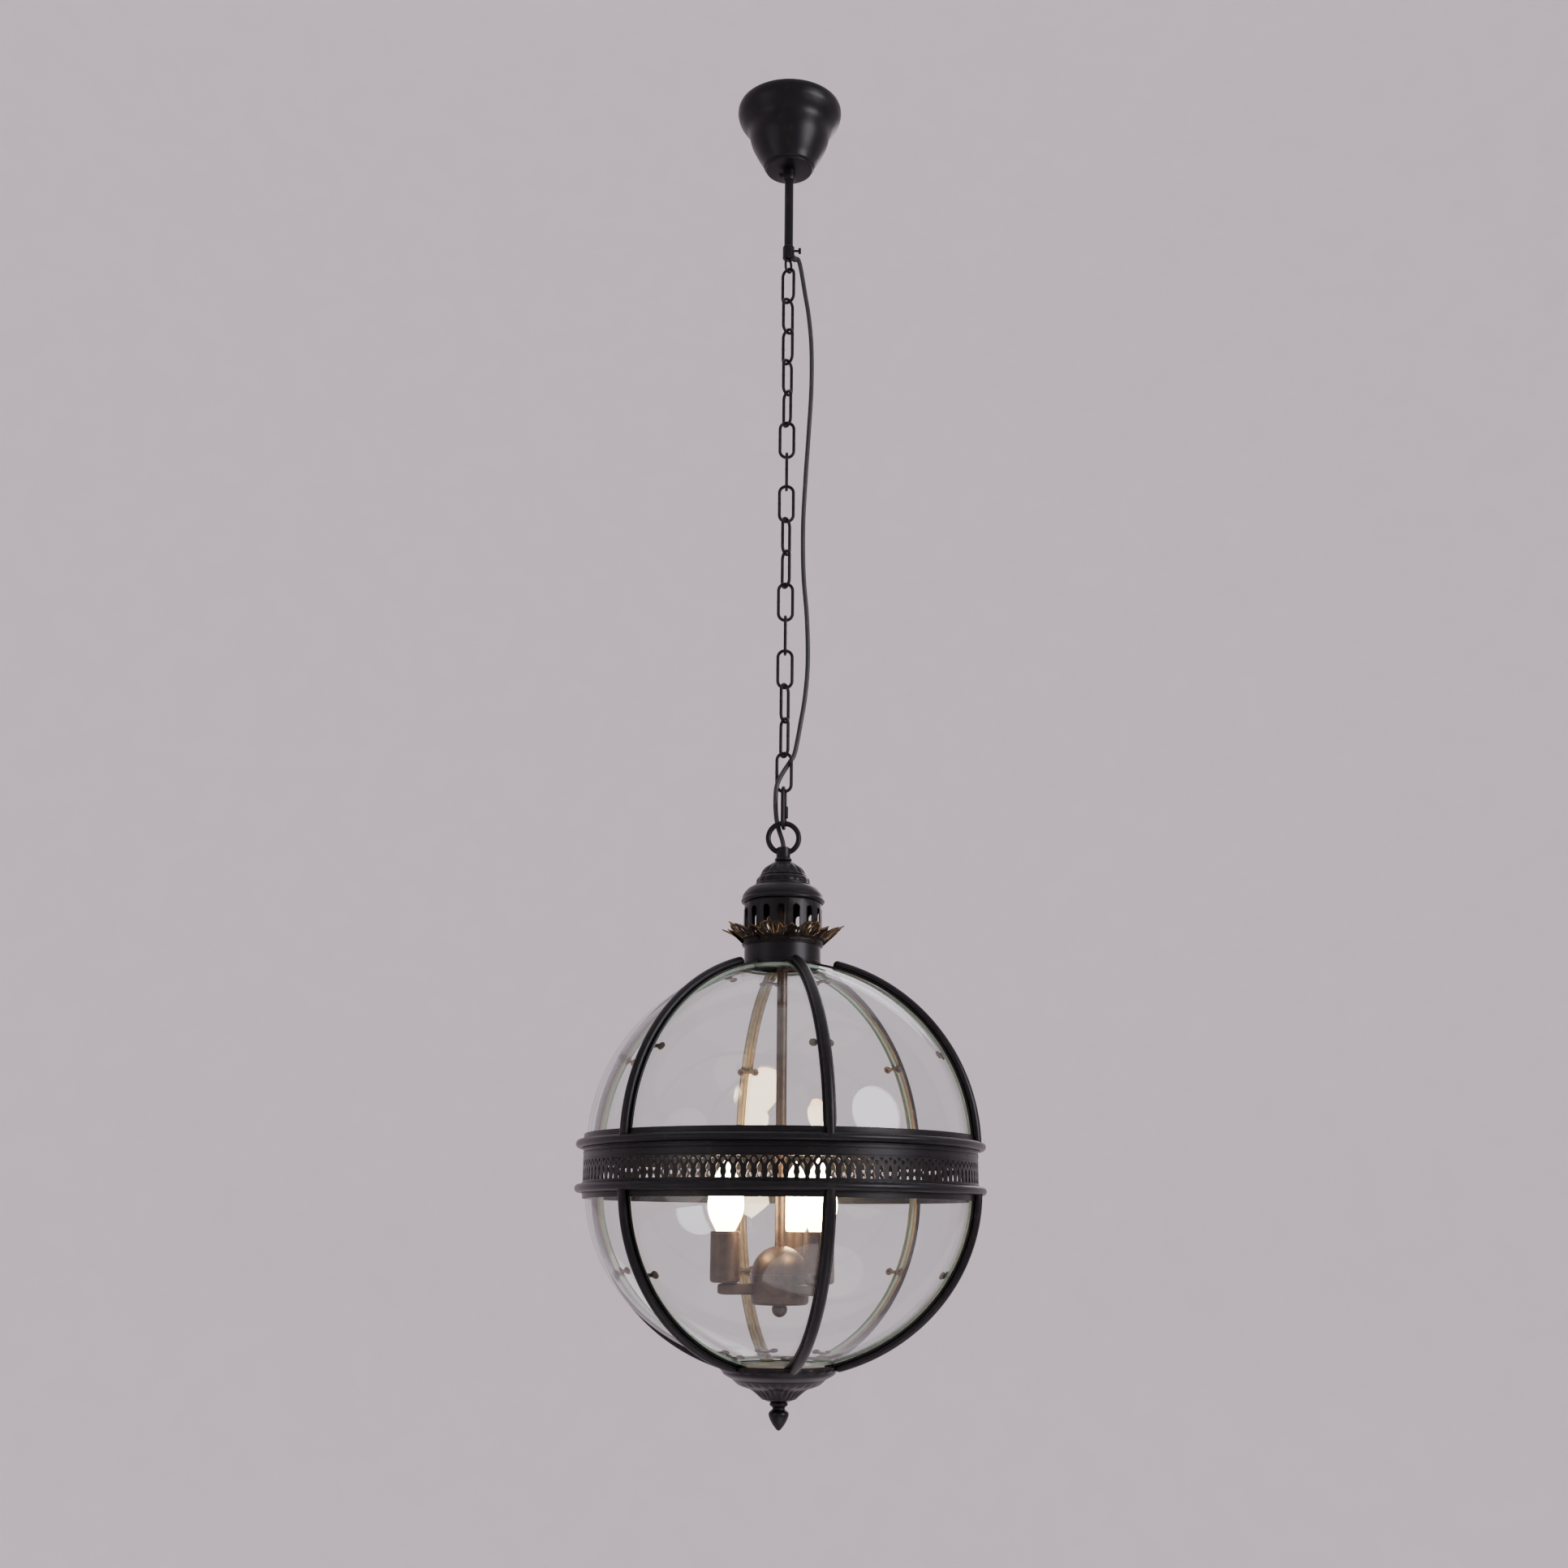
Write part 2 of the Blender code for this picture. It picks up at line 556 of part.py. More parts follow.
def coronet_part():
    """A flared ring of pointed leaves, each with a pierced heart."""
    across, steps = 4, CORONET_LEAVES * 4
    foot = COLLAR_TOP + FIT
    rows = [(VENT_R + 0.0009, 0.0), (VENT_R + 0.0012, 0.0045), (VENT_R + 0.0060, 0.0085)]
    rows.append((VENT_R + 0.0145, 0.0135))
    tip_r, tip_z = CORONET_R - 0.0006, CORONET_H
    cut_back = (1.0, 0.45, 0.0, 0.45)
    points, faces = [], []
    for row in range(len(rows) + 1):
        for step in range(steps):
            azimuth = 360 * step / steps
            if row < len(rows):
                radius, z = rows[row]
            else:
                back = 0.75 * cut_back[step % across]
                radius = tip_r + (rows[-1][0] - tip_r) * back
                z = tip_z + (rows[-1][1] - tip_z) * back
            points.append(polar(radius, azimuth, foot + z))
    for row in range(len(rows)):
        for step in range(steps):
            if row == 2 and step % across in (1, 2):
                continue
            after = (step + 1) % steps
            base = row * steps
            faces.append((base + step, base + after, base + steps + after, base + steps + step))
    return bronze(thicken(sheet_object("coronet", points, faces), 0.0011))


def sheet_object(name, points, faces):
    mesh = bpy.data.meshes.new(name)
    mesh.from_pydata([tuple(p) for p in points], [], faces)
    obj = bpy.data.objects.new(name, mesh)
    bpy.context.scene.collection.objects.link(obj)
    return obj


def thicken(obj, thickness):
    """Makes a thin sheet a closed wall, centred on the sheet."""
    modifier = obj.modifiers.new("wall", "SOLIDIFY")
    modifier.thickness = thickness
    modifier.offset = 0.0
    modifier.use_even_offset = False
    graph = bpy.context.evaluated_depsgraph_get()
    mesh = bpy.data.meshes.new_from_object(obj.evaluated_get(graph))
    obj.modifiers.clear()
    obj.data = mesh
    shape = bmesh.new()
    shape.from_mesh(mesh)
    bmesh.ops.recalc_face_normals(shape, faces=shape.faces)
    shape.to_mesh(mesh)
    shape.free()
    return obj


def angle_at_radius(radius, out):
    """The angle from the pole at which a half's ellipse is this far out."""
    return math.asin(out / radius)


def angle_at_level(level, upper):
    """The angle from the pole at which a half's ellipse is this far above or below the belt's middle."""
    return math.acos((level - BELT_EDGE) / (UPPER_B if upper else LOWER_B))


def station(angle, azimuth, upper, inset=0.0):
    """A point on the globe's outer face, moved in by inset, with its sideways and outward directions."""
    way, height = (1, UPPER_B - inset) if upper else (-1, LOWER_B - inset)
    radius = BAR_R - inset
    centre = polar(radius * math.sin(angle), azimuth, way * height * math.cos(angle))
    out = polar(height * math.sin(angle), azimuth, way * radius * math.cos(angle)).normalized()
    return centre + Vector((0, 0, BELT_Z + way * BELT_EDGE)), polar(1.0, azimuth + 90, 0), out


def rib_angles(upper):
    """Where a rib's rod and the glass beside it bend, from the rod's end at the pole to the belt."""
    start, end = angle_at_radius(BAR_R, ROD_TOP_R if upper else ROD_FOOT_R), angle_at_level(0.0222, upper)
    return [start + (end - start) * k / 5 for k in range(6)]


def rib(azimuth, upper):
    """One rib: a round rod on a flat bar outside the glass, and two clips inside it."""
    pole = angle_at_radius(BAR_R, COLLAR_R - 0.0020 if upper else 0.0470)
    angles = rib_angles(upper)
    thin = 0.0 if upper else -0.0009
    stations = [(pole, 0.02, thin), (angles[0] - 0.004, 0.02, thin)] + [(angle, 1.0, 0.0) for angle in angles]
    bar = [(-BAR_W / 2, -BAR_T), (BAR_W / 2, -BAR_T)]
    half, middle = ROD_R, ROD_RISE
    rod_line = [(half * 0.86, 0), (half, middle * 1.3), (half * 0.55, middle + ROD_R)]
    rod_line += [(-u, v) for u, v in rod_line[::-1]]
    points, size = [], len(bar) + len(rod_line) + 2
    for angle, share, face in stations:
        centre, side, out = station(angle, azimuth, upper)
        line = bar + [(BAR_W / 2, face)]
        line += [(u, face + FIT / 10 + v * share) for u, v in rod_line]
        line += [(-BAR_W / 2, face)]
        points += [centre + u * side + v * out for u, v in line]
    faces = [list(range(size)), list(range(len(points) - size, len(points)))]
    for i in range(len(stations) - 1):
        for k in range(size):
            m = (k + 1) % size
            faces.append((i * size + k, i * size + m, (i + 1) * size + m, (i + 1) * size + k))
    pieces = [solid("rib", points, faces)]
    pieces += clip(angles[0], azimuth, upper) + clip(angles[3], azimuth, upper)
    if not upper:
        plate_top = BELT_Z + BASE_RIM_Z - 0.0020
        foot = polar(0.0500, azimuth, plate_top + 0.0006)
        spin = Matrix.Rotation(math.radians(azimuth), 4, "Z")
        outline = [(-0.004, -0.003), (0.004, -0.003), (0.004, 0.003), (-0.004, 0.003)]
        pieces.append(extrude("foot", outline, 0.0028, Matrix.Translation(foot) @ spin))
    return pieces


def clip(angle, azimuth, upper):
    """A bar with a round pad at each end, inside the glass, and the post that joins it to the rib."""
    centre, side, out = station(angle, azimuth, upper)
    along = out.cross(side)
    under = BAR_T + GLASS_T + 3 * FIT
    place = Matrix((side, along, out)).transposed().to_4x4()
    place.translation = centre - out * (under + CLIP_T / 2)
    half, pad, neck = CLIP_SPACING / 2, CLIP_LOBE_R, 0.0016
    start = math.asin(neck / pad)
    outline = [(0, neck)]
    for k in range(4):
        turn = math.pi - start - (2 * math.pi - 2 * start) * k / 3
        outline.append((half + pad * math.cos(turn), pad * math.sin(turn)))
    outline += [(-x, -y) for x, y in outline]
    bar = extrude("clip", outline, CLIP_T, place)
    for vertex in bar.data.vertices:
        vertex.co -= out * abs((vertex.co - centre).dot(side)) * CLIP_LEAN
    place = place.copy()
    place.translation = centre - out * (under + BAR_T) / 2 + along * 0.0002
    w, h = PANE_GAP - 2 * FIT, 0.0013
    post = extrude("post", [(-w, -h), (w, -h), (w, h), (-w, h)], under, place)
    return [bar, post]


def belt_ring(name, way, wall_end, lip_end):
    """One of the belt's two rings: a band with a bead round it, a ledge for the glass and an inner lip."""
    wall, inner, bead, out = BELT_R, BELT_R - BELT_WALL, BEAD_OFFSET, BELT_R + 0.0077
    profile = [(wall, wall_end), (wall, bead - 0.0034), (out - 0.0030, bead - BEAD_R), (out, bead)]
    profile += [(out - 0.0030, bead + BEAD_R), (wall, bead + 0.0034), (wall, BELT_HALF_H)]
    profile += [(inner, BELT_HALF_H), (inner, 0.0215), (inner - 0.0076, 0.0215)]
    profile += [(inner - 0.0076, BELT_EDGE), (inner - 0.0012, BELT_EDGE)]
    profile += [(inner - 0.0012, lip_end), (inner - 0.0005, lip_end), (inner - 0.0005, wall_end)]
    return revolve(name, [(r, way * z) for r, z in profile], 36, BELT_Z)


def frame_parts():
    upper = belt_ring("upper_frame", 1, GALLERY_TOP + FIT, 0.0080)
    wall, bore = COLLAR_R - 0.0012, ROD_TUBE_R + FIT
    ledge = VENT_R + 0.0012
    profile = [(ledge, COLLAR_TOP), (ledge, COLLAR_TOP - 0.0012), (COLLAR_R, COLLAR_TOP - 0.0012)]
    lip = COLLAR_FOOT - 0.0022
    profile += [(COLLAR_R, COLLAR_FOOT), (COLLAR_R - 0.0005, lip), (wall - 0.0010, lip)]
    profile.append((wall, COLLAR_FOOT + 0.004))
    profile += [(bore, COLLAR_FOOT + 0.004), (bore, COLLAR_FOOT + 0.0055), (wall, COLLAR_FOOT + 0.0055)]
    profile += [(wall, COLLAR_TOP)]
    collar = revolve("collar", profile, 24)
    vents = []
    for k in range(RIBS):
        x, y, _ = polar(0.022, RIB_TURN + 30 + 60 * k, 0)
        vents.append(rod("vent", (x, y, COLLAR_FOOT + 0.002), (x, y, COLLAR_FOOT + 0.008), 0.007, 8))
    collar = cut(collar, *vents)
    ribs = [piece for k in range(RIBS) for piece in rib(RIB_TURN + 360 * k / RIBS, True)]
    black(join(upper, collar, *ribs))

    lower = belt_ring("lower_frame", -1, -GALLERY_FOOT + FIT, 0.0145)
    top = BELT_Z + BASE_RIM_Z - 0.0020
    reach = BASE_RIM_R - BASE_WALL - 0.0006
    plate = revolve("plate", [(0.0036, top), (reach, top), (reach, top - 0.0015), (0.0036, top - 0.0015)], 30)
    ribs = [piece for k in range(RIBS) for piece in rib(RIB_TURN + 360 * k / RIBS, False)]
    black(join(lower, plate, *ribs))

    columns = 2 * WINDOWS
    heights = (GALLERY_FOOT, WINDOW_FOOT, WINDOW_TOP, GALLERY_TOP)
    points = [polar(BELT_R - 0.0005, 360 * k / columns, BELT_Z + z) for z in heights for k in range(columns)]
    faces = []
    for row in range(3):
        for k in range(columns):
            if row == 1 and k % 2:
                continue
            after = (k + 1) % columns
            low, high = row * columns, (row + 1) * columns
            faces.append((low + k, low + after, high + after, high + k))
    black(thicken(sheet_object("gallery_strip", points, faces), 0.0010))


def pane(name, azimuth, upper):
    """One bent glass pane between two ribs, from the belt to the collar or the base."""
    inset = BAR_T + FIT
    angles = [angle_at_radius(BAR_R - inset, COLLAR_R + 0.0006 if upper else 0.0505)] + rib_angles(upper)
    points, columns, rows = [], 4, len(angles) - 1
    for depth in (inset, inset + GLASS_T):
        for angle in angles:
            centre, _, out = station(angle, 0.0, upper, inset)
            centre -= out * (depth - inset)
            far = -centre.y
            half = 180 / RIBS - math.degrees(math.asin(PANE_GAP / far))
            for k in range(columns + 1):
                points.append(polar(far, azimuth + half * (2 * k / columns - 1), centre.z))
    width, layer = columns + 1, (columns + 1) * (rows + 1)
    faces = []
    for row in range(rows):
        for k in range(columns):
            corner = row * width + k
            face = (corner, corner + 1, corner + width + 1, corner + width)
            faces += [face, tuple(layer + n for n in face)]
    edge = list(range(width)) + [row * width + columns for row in range(1, rows + 1)]
    edge += [rows * width + k for k in range(columns - 1, -1, -1)]
    edge += [row * width for row in range(rows - 1, 0, -1)]
    faces += [(a, b, layer + b, layer + a) for a, b in zip(edge, edge[1:] + edge[:1])]
    return paint(solid(name, points, faces), (0.95, 0.97, 0.95), 0.0, 0.02, 1.0)


def base_parts():
    rim, deep = BASE_RIM_R, BASE_H / 0.0350
    top = BELT_Z + BASE_RIM_Z
    outline = [(0, -0.0010), (0, -0.0060), (0.0040, -0.0104), (0.0110, -0.0142)]
    outline += [(0.0125, -0.0158), (0.0177, -0.0197)]
    outline += [(0.0232, -0.0219), (0.0290, -0.0238), (0.0348, -0.0279), (0.0400, -0.0323), (0.0460, -0.0350)]
    outer = [(rim - inset, z * deep) for inset, z in outline]
    inner = [(outer[k][0] - BASE_WALL, outer[k][1] + BASE_WALL) for k in (3, 5, 8)]
    inner = [(rim - BASE_WALL, outer[0][1]), (rim - BASE_WALL, outer[1][1])] + inner
    bore = 0.0036
    profile = outer + [(bore, outer[-1][1]), (bore, outer[-1][1] + BASE_WALL)] + inner[::-1]
    flutes = {6: 0.0008, 7: 0.0010, 8: 0.0010, 9: 0.0007}
    black(revolve("base_cup", profile, 28, top, flutes))

    z = BASE_FOOT - FIT
    full, tall = FINIAL_R, FINIAL_H / 0.0257
    outline = [(0.0082, 0), (0.0088, -0.0020), (0.0080, -0.0036), (0.0060, -0.0055), (0.0062, -0.0066)]
    outline += [(full - 0.0006, -0.0088), (full, -0.0113), (full - 0.0011, -0.0150), (full - 0.0037, -0.0198)]
    outline += [(full - 0.0072, -0.0242), (0, -0.0257)]
    shank = BASE_H + FIT - 0.0008
    profile = [(0, shank), (0.0030, shank), (0.0030, 0)]
    profile += [(r, h * tall) for r, h in outline]
    black(revolve("finial", profile, 16, z))


def cluster_parts():
    top, foot = SHANK_FOOT - FIT, BELT_Z + CUP_FOOT_Z + 0.0080
    bore = ROD_TUBE_BORE_R
    under = COLLAR_FOOT + 0.004 - FIT
    profile = [(bore, top), (ROD_TUBE_R, top), (ROD_TUBE_R, under), (0.0088, under), (0.0088, under - 0.0022)]
    profile += [(ROD_TUBE_R, under - 0.0022), (ROD_TUBE_R, foot), (bore, foot)]
    bronze(revolve("centre_rod", profile, 16))

    tip, floor = BELT_Z + CUP_TOP_Z, BELT_Z + CUP_FOOT_Z
    hole = ROD_TUBE_R + FIT
    outer, inner = [], []
    for degrees in (15, 32, 50, 70, 90):
        turn = math.radians(degrees)
        outer.append((CUP_R * math.sin(turn), tip - CUP_R * (1 - math.cos(turn))))
        inner.append(((CUP_R - CUP_WALL) * math.sin(turn), tip - CUP_R + (CUP_R - CUP_WALL) * math.cos(turn)))
    neck = [(hole, tip - CUP_R * (1 - math.cos(math.asin(hole / CUP_R))))]
    below = [(hole, neck[0][1] - CUP_WALL)]
    wall = [(CUP_R, floor), (0.0033, floor), (0.0033, floor + CUP_WALL), (CUP_R - CUP_WALL, floor + CUP_WALL)]
    cup = revolve("cluster_cup", neck + outer + wall + inner[::-1] + below, 18)
    reach, gaps, arms = ARM_REACH + 0.0070, [], []
    low, high = ARM_TOP - ARM_H, ARM_TOP
    for k in range(3):
        spin = Matrix.Rotation(math.radians(ARM_TURN + 120 * k), 4, "Z")
        half, inside = ARM_W / 2, 0.0070
        outline = [(-half, -inside), (half, -inside), (half, -reach + half)]
        outline += [(half * 0.7, -reach + half * 0.3), (0, -reach), (-half * 0.7, -reach + half * 0.3)]
        outline += [(-half, -reach + half)]
        arms.append(extrude("arm", outline, ARM_H, Matrix.Translation((0, 0, (low + high) / 2)) @ spin))
        side = half + FIT
        near, far = -CUP_R + 0.006, -CUP_R - 0.006
        outline = [(-side, near), (side, near), (side, far), (-side, far)]
        middle = Matrix.Translation((0, 0, (low + high) / 2))
        gaps.append(extrude("gap", outline, ARM_H + 2 * FIT, middle @ spin))
    bronze(cut(cup, *gaps))
    spider = revolve("cluster_arms", [(hole, high), (0.0110, high), (0.0110, low), (hole, low)], 18)
    bronze(join(spider, *arms))

    ball_z = floor - 0.0040
    profile = [(0, floor + 0.0150), (0.0028, floor + 0.0150), (0.0028, floor - FIT), (0.0064, floor - FIT)]
    for degrees in (90, 120, 150, 180):
        turn = math.radians(degrees)
        profile.append((KNOB_R * math.sin(turn) if degrees < 180 else 0, ball_z + KNOB_R * math.cos(turn)))
    bronze(revolve("cluster_knob", profile, 18))

    for k in range(3):
        x, y, _ = polar(ARM_REACH, ARM_TURN + 120 * k, 0)
        candle(k + 1, x, y)


def candle(number, x, y):
    """A candle sleeve with its lampholder, and a bulb standing in it."""
    full, height, bore = SLEEVE_R, SLEEVE_H, SOCKET_R
    seat = SLEEVE_FOOT + height - 0.0340
    profile = [(0.0040, 0), (full - 0.0016, 0), (full, 0.0016), (full, height), (full - 0.0014, height)]
    profile += [(full - 0.0014, height - 0.0060), (bore, height - 0.0060), (bore, height - 0.0340)]
    profile += [(0.0040, height - 0.0340)]
    sleeve = revolve(f"candle_sleeve_{number}", profile, 14, SLEEVE_FOOT)
    base, glass = BULB_BASE_R, BULB_R
    neck = height - 0.0045
    top = neck - height + 0.0340
    outline = [(0, FIT), (base - 0.002, FIT), (base, 0.0020), (base, top), (base + 0.0014, top + 0.0010)]
    body = outline[-1][1]
    for share, width in ((0.10, 0.62), (0.24, 0.90), (0.40, 1.0), (0.60, 0.88), (0.80, 0.55), (0.94, 0.20)):
        outline.append((glass * width, body + BULB_H * share))
    outline.append((0, body + BULB_H))
    bulb = revolve(f"bulb_{number}", outline, 12, seat)
    for obj in (sleeve, bulb):
        for vertex in obj.data.vertices:
            vertex.co += Vector((x, y, 0))
    bronze(sleeve)
    paint(bulb, (1.0, 0.86, 0.64), 0.0, 0.1, 0.0, 12.0)


def main():
    clear_scene()
    bridge_top = ceiling_fixings()
    canopy_parts()
    stem_parts(bridge_top)
    chain_parts()
    loop_parts()
    cord_part()
    crown_parts()
    coronet_part()
    frame_parts()
    for k in range(RIBS):
        middle = RIB_TURN + 30 + 360 * k / RIBS
        pane(f"glass_upper_{k + 1}", middle, True)
        pane(f"glass_lower_{k + 1}", middle, False)
    base_parts()
    cluster_parts()


main()
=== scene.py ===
"""The looks of a hanging lantern: a glass globe in a black iron cage, lit by three candle bulbs, on a chain.

Metres, +Z up, in the same frame as the lantern's solids. The front is towards -Y.
Azimuths are in degrees, from the front round towards +X.
"""

import json
import math

import bmesh
import bpy
from mathutils import Matrix, Vector
from mathutils.geometry import delaunay_2d_cdt

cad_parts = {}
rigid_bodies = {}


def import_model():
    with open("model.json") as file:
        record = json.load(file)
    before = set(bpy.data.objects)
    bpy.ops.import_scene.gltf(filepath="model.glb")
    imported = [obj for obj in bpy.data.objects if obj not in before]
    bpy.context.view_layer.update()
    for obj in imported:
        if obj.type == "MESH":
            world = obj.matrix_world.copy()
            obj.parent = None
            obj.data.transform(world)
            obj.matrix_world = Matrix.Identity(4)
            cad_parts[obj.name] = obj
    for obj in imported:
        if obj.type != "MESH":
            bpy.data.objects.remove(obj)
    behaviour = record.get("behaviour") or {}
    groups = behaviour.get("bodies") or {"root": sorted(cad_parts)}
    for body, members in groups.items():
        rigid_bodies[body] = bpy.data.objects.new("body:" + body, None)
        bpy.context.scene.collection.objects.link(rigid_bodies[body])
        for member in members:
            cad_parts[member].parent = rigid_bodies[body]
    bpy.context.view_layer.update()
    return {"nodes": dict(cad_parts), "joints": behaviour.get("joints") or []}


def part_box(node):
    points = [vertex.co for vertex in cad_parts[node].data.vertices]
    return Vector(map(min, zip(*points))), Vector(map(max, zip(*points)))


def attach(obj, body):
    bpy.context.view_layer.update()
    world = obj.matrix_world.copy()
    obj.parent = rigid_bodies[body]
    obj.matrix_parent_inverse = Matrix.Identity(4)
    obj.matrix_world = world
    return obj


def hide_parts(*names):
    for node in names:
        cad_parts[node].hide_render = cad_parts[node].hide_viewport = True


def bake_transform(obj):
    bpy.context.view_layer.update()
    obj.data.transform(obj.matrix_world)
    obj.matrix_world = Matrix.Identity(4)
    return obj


bl_info = {
    "name": "Hanging Lantern Looks",
    "version": (1, 0, 0),
    "blender": (4, 5, 0),
    "location": "3D View > Sidebar > Lantern",
    "description": "Makes the finished surfaces of a round glass lantern round its packed solids",
    "category": "Object",
}

for leftover in list(bpy.data.objects):
    bpy.data.objects.remove(leftover)
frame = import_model()

FIT = 0.0003  # gap between pieces that touch
WELD = 0.000002  # points closer than this are one
TOUCH = 0.0001

# Stem, chain and loop
STEM_R = 0.005
COUPLER_R = 0.0066
EYE_LENGTH = 0.0187
EYE_WIDTH = 0.0135
EYE_WIRE = 0.0030
EYE_TURN = 54.0
LINK_WIDTH = 0.0185
LINK_WIRE = 0.0035
LINK_TURNS = (-36, 48, -48, 54, 120, 0, 90, 0, 60, 120, 0, 90, 0, 60, 120, 0)
QUICK_WIDTH = 0.0180
QUICK_WIRE = 0.0040
QUICK_TURN = 80.0
QUICK_NUT_R = 0.0034
LOOP_R = 0.0184
LOOP_WIRE = 0.0056
NECK_R = 0.00735
NECK_H = 0.0105
FLANGE_R = 0.0089
FLANGE_H = 0.0040

# Crown, vent, coronet and collar
CROWN_WALL = 0.0015
VENT_R = 0.0392
VENT_WALL = 0.0010
VENT_SLOTS = 16
VENT_SLOT_W = 0.0074
COLLAR_R = 0.0386

# Globe
RIBS = 6
RIB_TURN = 13.0
BAR_R = 0.1922
UPPER_B = 0.1835
LOWER_B = 0.1690
BELT_EDGE = 0.0200
BAR_W = 0.0125
BAR_T = 0.0020
ROD_R = 0.0045
ROD_RISE = 0.0025
ROD_TOP_R = 0.0565
ROD_FOOT_R = 0.0586
GLASS_T = 0.0030
PANE_GAP = 0.0018
CLIP_SPACING = 0.0155
CLIP_LOBE_R = 0.0040
CLIP_T = 0.0018
CLIP_LEAN = 0.145

# Belt
BELT_R = 0.1923
BELT_HALF_H = 0.0305
BEAD_OFFSET = 0.0210
BEAD_R = 0.0040
BELT_WALL = 0.0012
GALLERY_TOP = 0.0130
GALLERY_FOOT = -0.0167

# Base
BASE_RIM_R = 0.0565
BASE_RIM_Z = -0.1810
BASE_WALL = 0.0015

# Candle cluster
ROD_TUBE_R = 0.00525
CUP_R = 0.0280
CUP_TOP_Z = -0.0730
CUP_FOOT_Z = -0.1280
CUP_WALL = 0.0015
ARM_TURN = 43.0
ARM_REACH = 0.0540
ARM_W = 0.0120
ARM_H = 0.0105
ARM_TOP_Z = -0.1080
SLEEVE_R = 0.0145
SLEEVE_H = 0.0480
SOCKET_R = 0.0073
BULB_R = 0.0175
BULB_H = 0.0720
BULB_BASE_R = 0.0067
KNOB_R = 0.0075

# Heights read from the solids
CANOPY_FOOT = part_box("canopy")[0].z
COUPLER_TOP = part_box("stem_coupler")[1].z
LINK_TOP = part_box("chain_link_01")[1].z
CHAIN_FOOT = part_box("chain_link_16")[0].z
LOOP_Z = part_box("hanging_loop")[1].z - LOOP_R
CROWN_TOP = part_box("crown_dome")[1].z
CROWN_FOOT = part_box("crown_dome")[0].z
COLLAR_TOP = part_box("coronet")[0].z - FIT
BASE_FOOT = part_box("base_cup")[0].z
SHANK_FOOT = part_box("hanging_loop")[0].z
BELT_Z = BASE_FOOT - BASE_RIM_Z + 0.0350
NECK_TOP = LOOP_Z - math.sqrt((LOOP_R - LOOP_WIRE) ** 2 - NECK_R**2)
NECK_FOOT = NECK_TOP - NECK_H
COLLAR_FOOT = BELT_Z + BELT_EDGE + UPPER_B * math.sqrt(1 - (COLLAR_R / BAR_R) ** 2)
ARM_TOP = BELT_Z + ARM_TOP_Z
SLEEVE_FOOT = ARM_TOP + FIT


# Points and lines


def polar(radius, azimuth, z):
    turn = math.radians(azimuth)
    return Vector((radius * math.sin(turn), -radius * math.cos(turn), z))


def smooth_line(points, steps):
    """A smooth line through the points, with steps pieces between each two."""
    points = [Vector(p) for p in points]
    ends = [2 * points[0] - points[1], *points, 2 * points[-1] - points[-2]]
    line = []
    for a, b, c, d in zip(ends, ends[1:], ends[2:], ends[3:]):
        for k in range(steps):
            t = k / steps
            bend, swing = 2 * a - 5 * b + 4 * c - d, 3 * b - a - 3 * c + d
            line.append(0.5 * (2 * b + (c - a) * t + bend * t**2 + swing * t**3))
    return line + [points[-1]]


def arc(x, y, radius, start, end, steps):
    """Points of a round stretch, from one angle in degrees to another."""
    turns = [math.radians(start + (end - start) * k / steps) for k in range(steps + 1)]
    return [(x + radius * math.cos(t), y + radius * math.sin(t)) for t in turns]


def stadium(length, width, bend_steps, side_steps):
    """The middle line of a link: two straight sides and two round ends, as (across, height)."""
    radius, straight = width / 2, length / 2 - width / 2
    line = []
    for way in (1, -1):
        line += [(way * x, way * (straight + y)) for x, y in arc(0, 0, radius, 0, 180, bend_steps)]
        line += [(-way * radius, way * straight * (1 - 2 * k / side_steps)) for k in range(1, side_steps)]
    return line


def globe_point(angle, azimuth, upper, inset=0.0):
    """A point on the globe's outer face, moved in by inset, with its sideways and outward directions."""
    way, height = (1, UPPER_B - inset) if upper else (-1, LOWER_B - inset)
    radius = BAR_R - inset
    centre = polar(radius * math.sin(angle), azimuth, way * height * math.cos(angle))
    out = polar(height * math.sin(angle), azimuth, way * radius * math.cos(angle)).normalized()
    return centre + Vector((0, 0, BELT_Z + way * BELT_EDGE)), polar(1.0, azimuth + 90, 0), out


def angle_at_radius(radius, out):
    return math.asin(out / radius)


def angle_at_level(level, upper):
    return math.acos((level - BELT_EDGE) / (UPPER_B if upper else LOWER_B))


def between(start, end, steps):
    return [start + (end - start) * k / steps for k in range(steps + 1)]


def inside(point, outline):
    """Whether a flat point lies in a closed outline."""
    x, y, found = point[0], point[1], False
    for (x1, y1), (x2, y2) in zip(outline, outline[1:] + outline[:1]):
        if (y1 > y) != (y2 > y) and x < (x2 - x1) * (y - y1) / (y2 - y1) + x1:
            found = not found
    return found


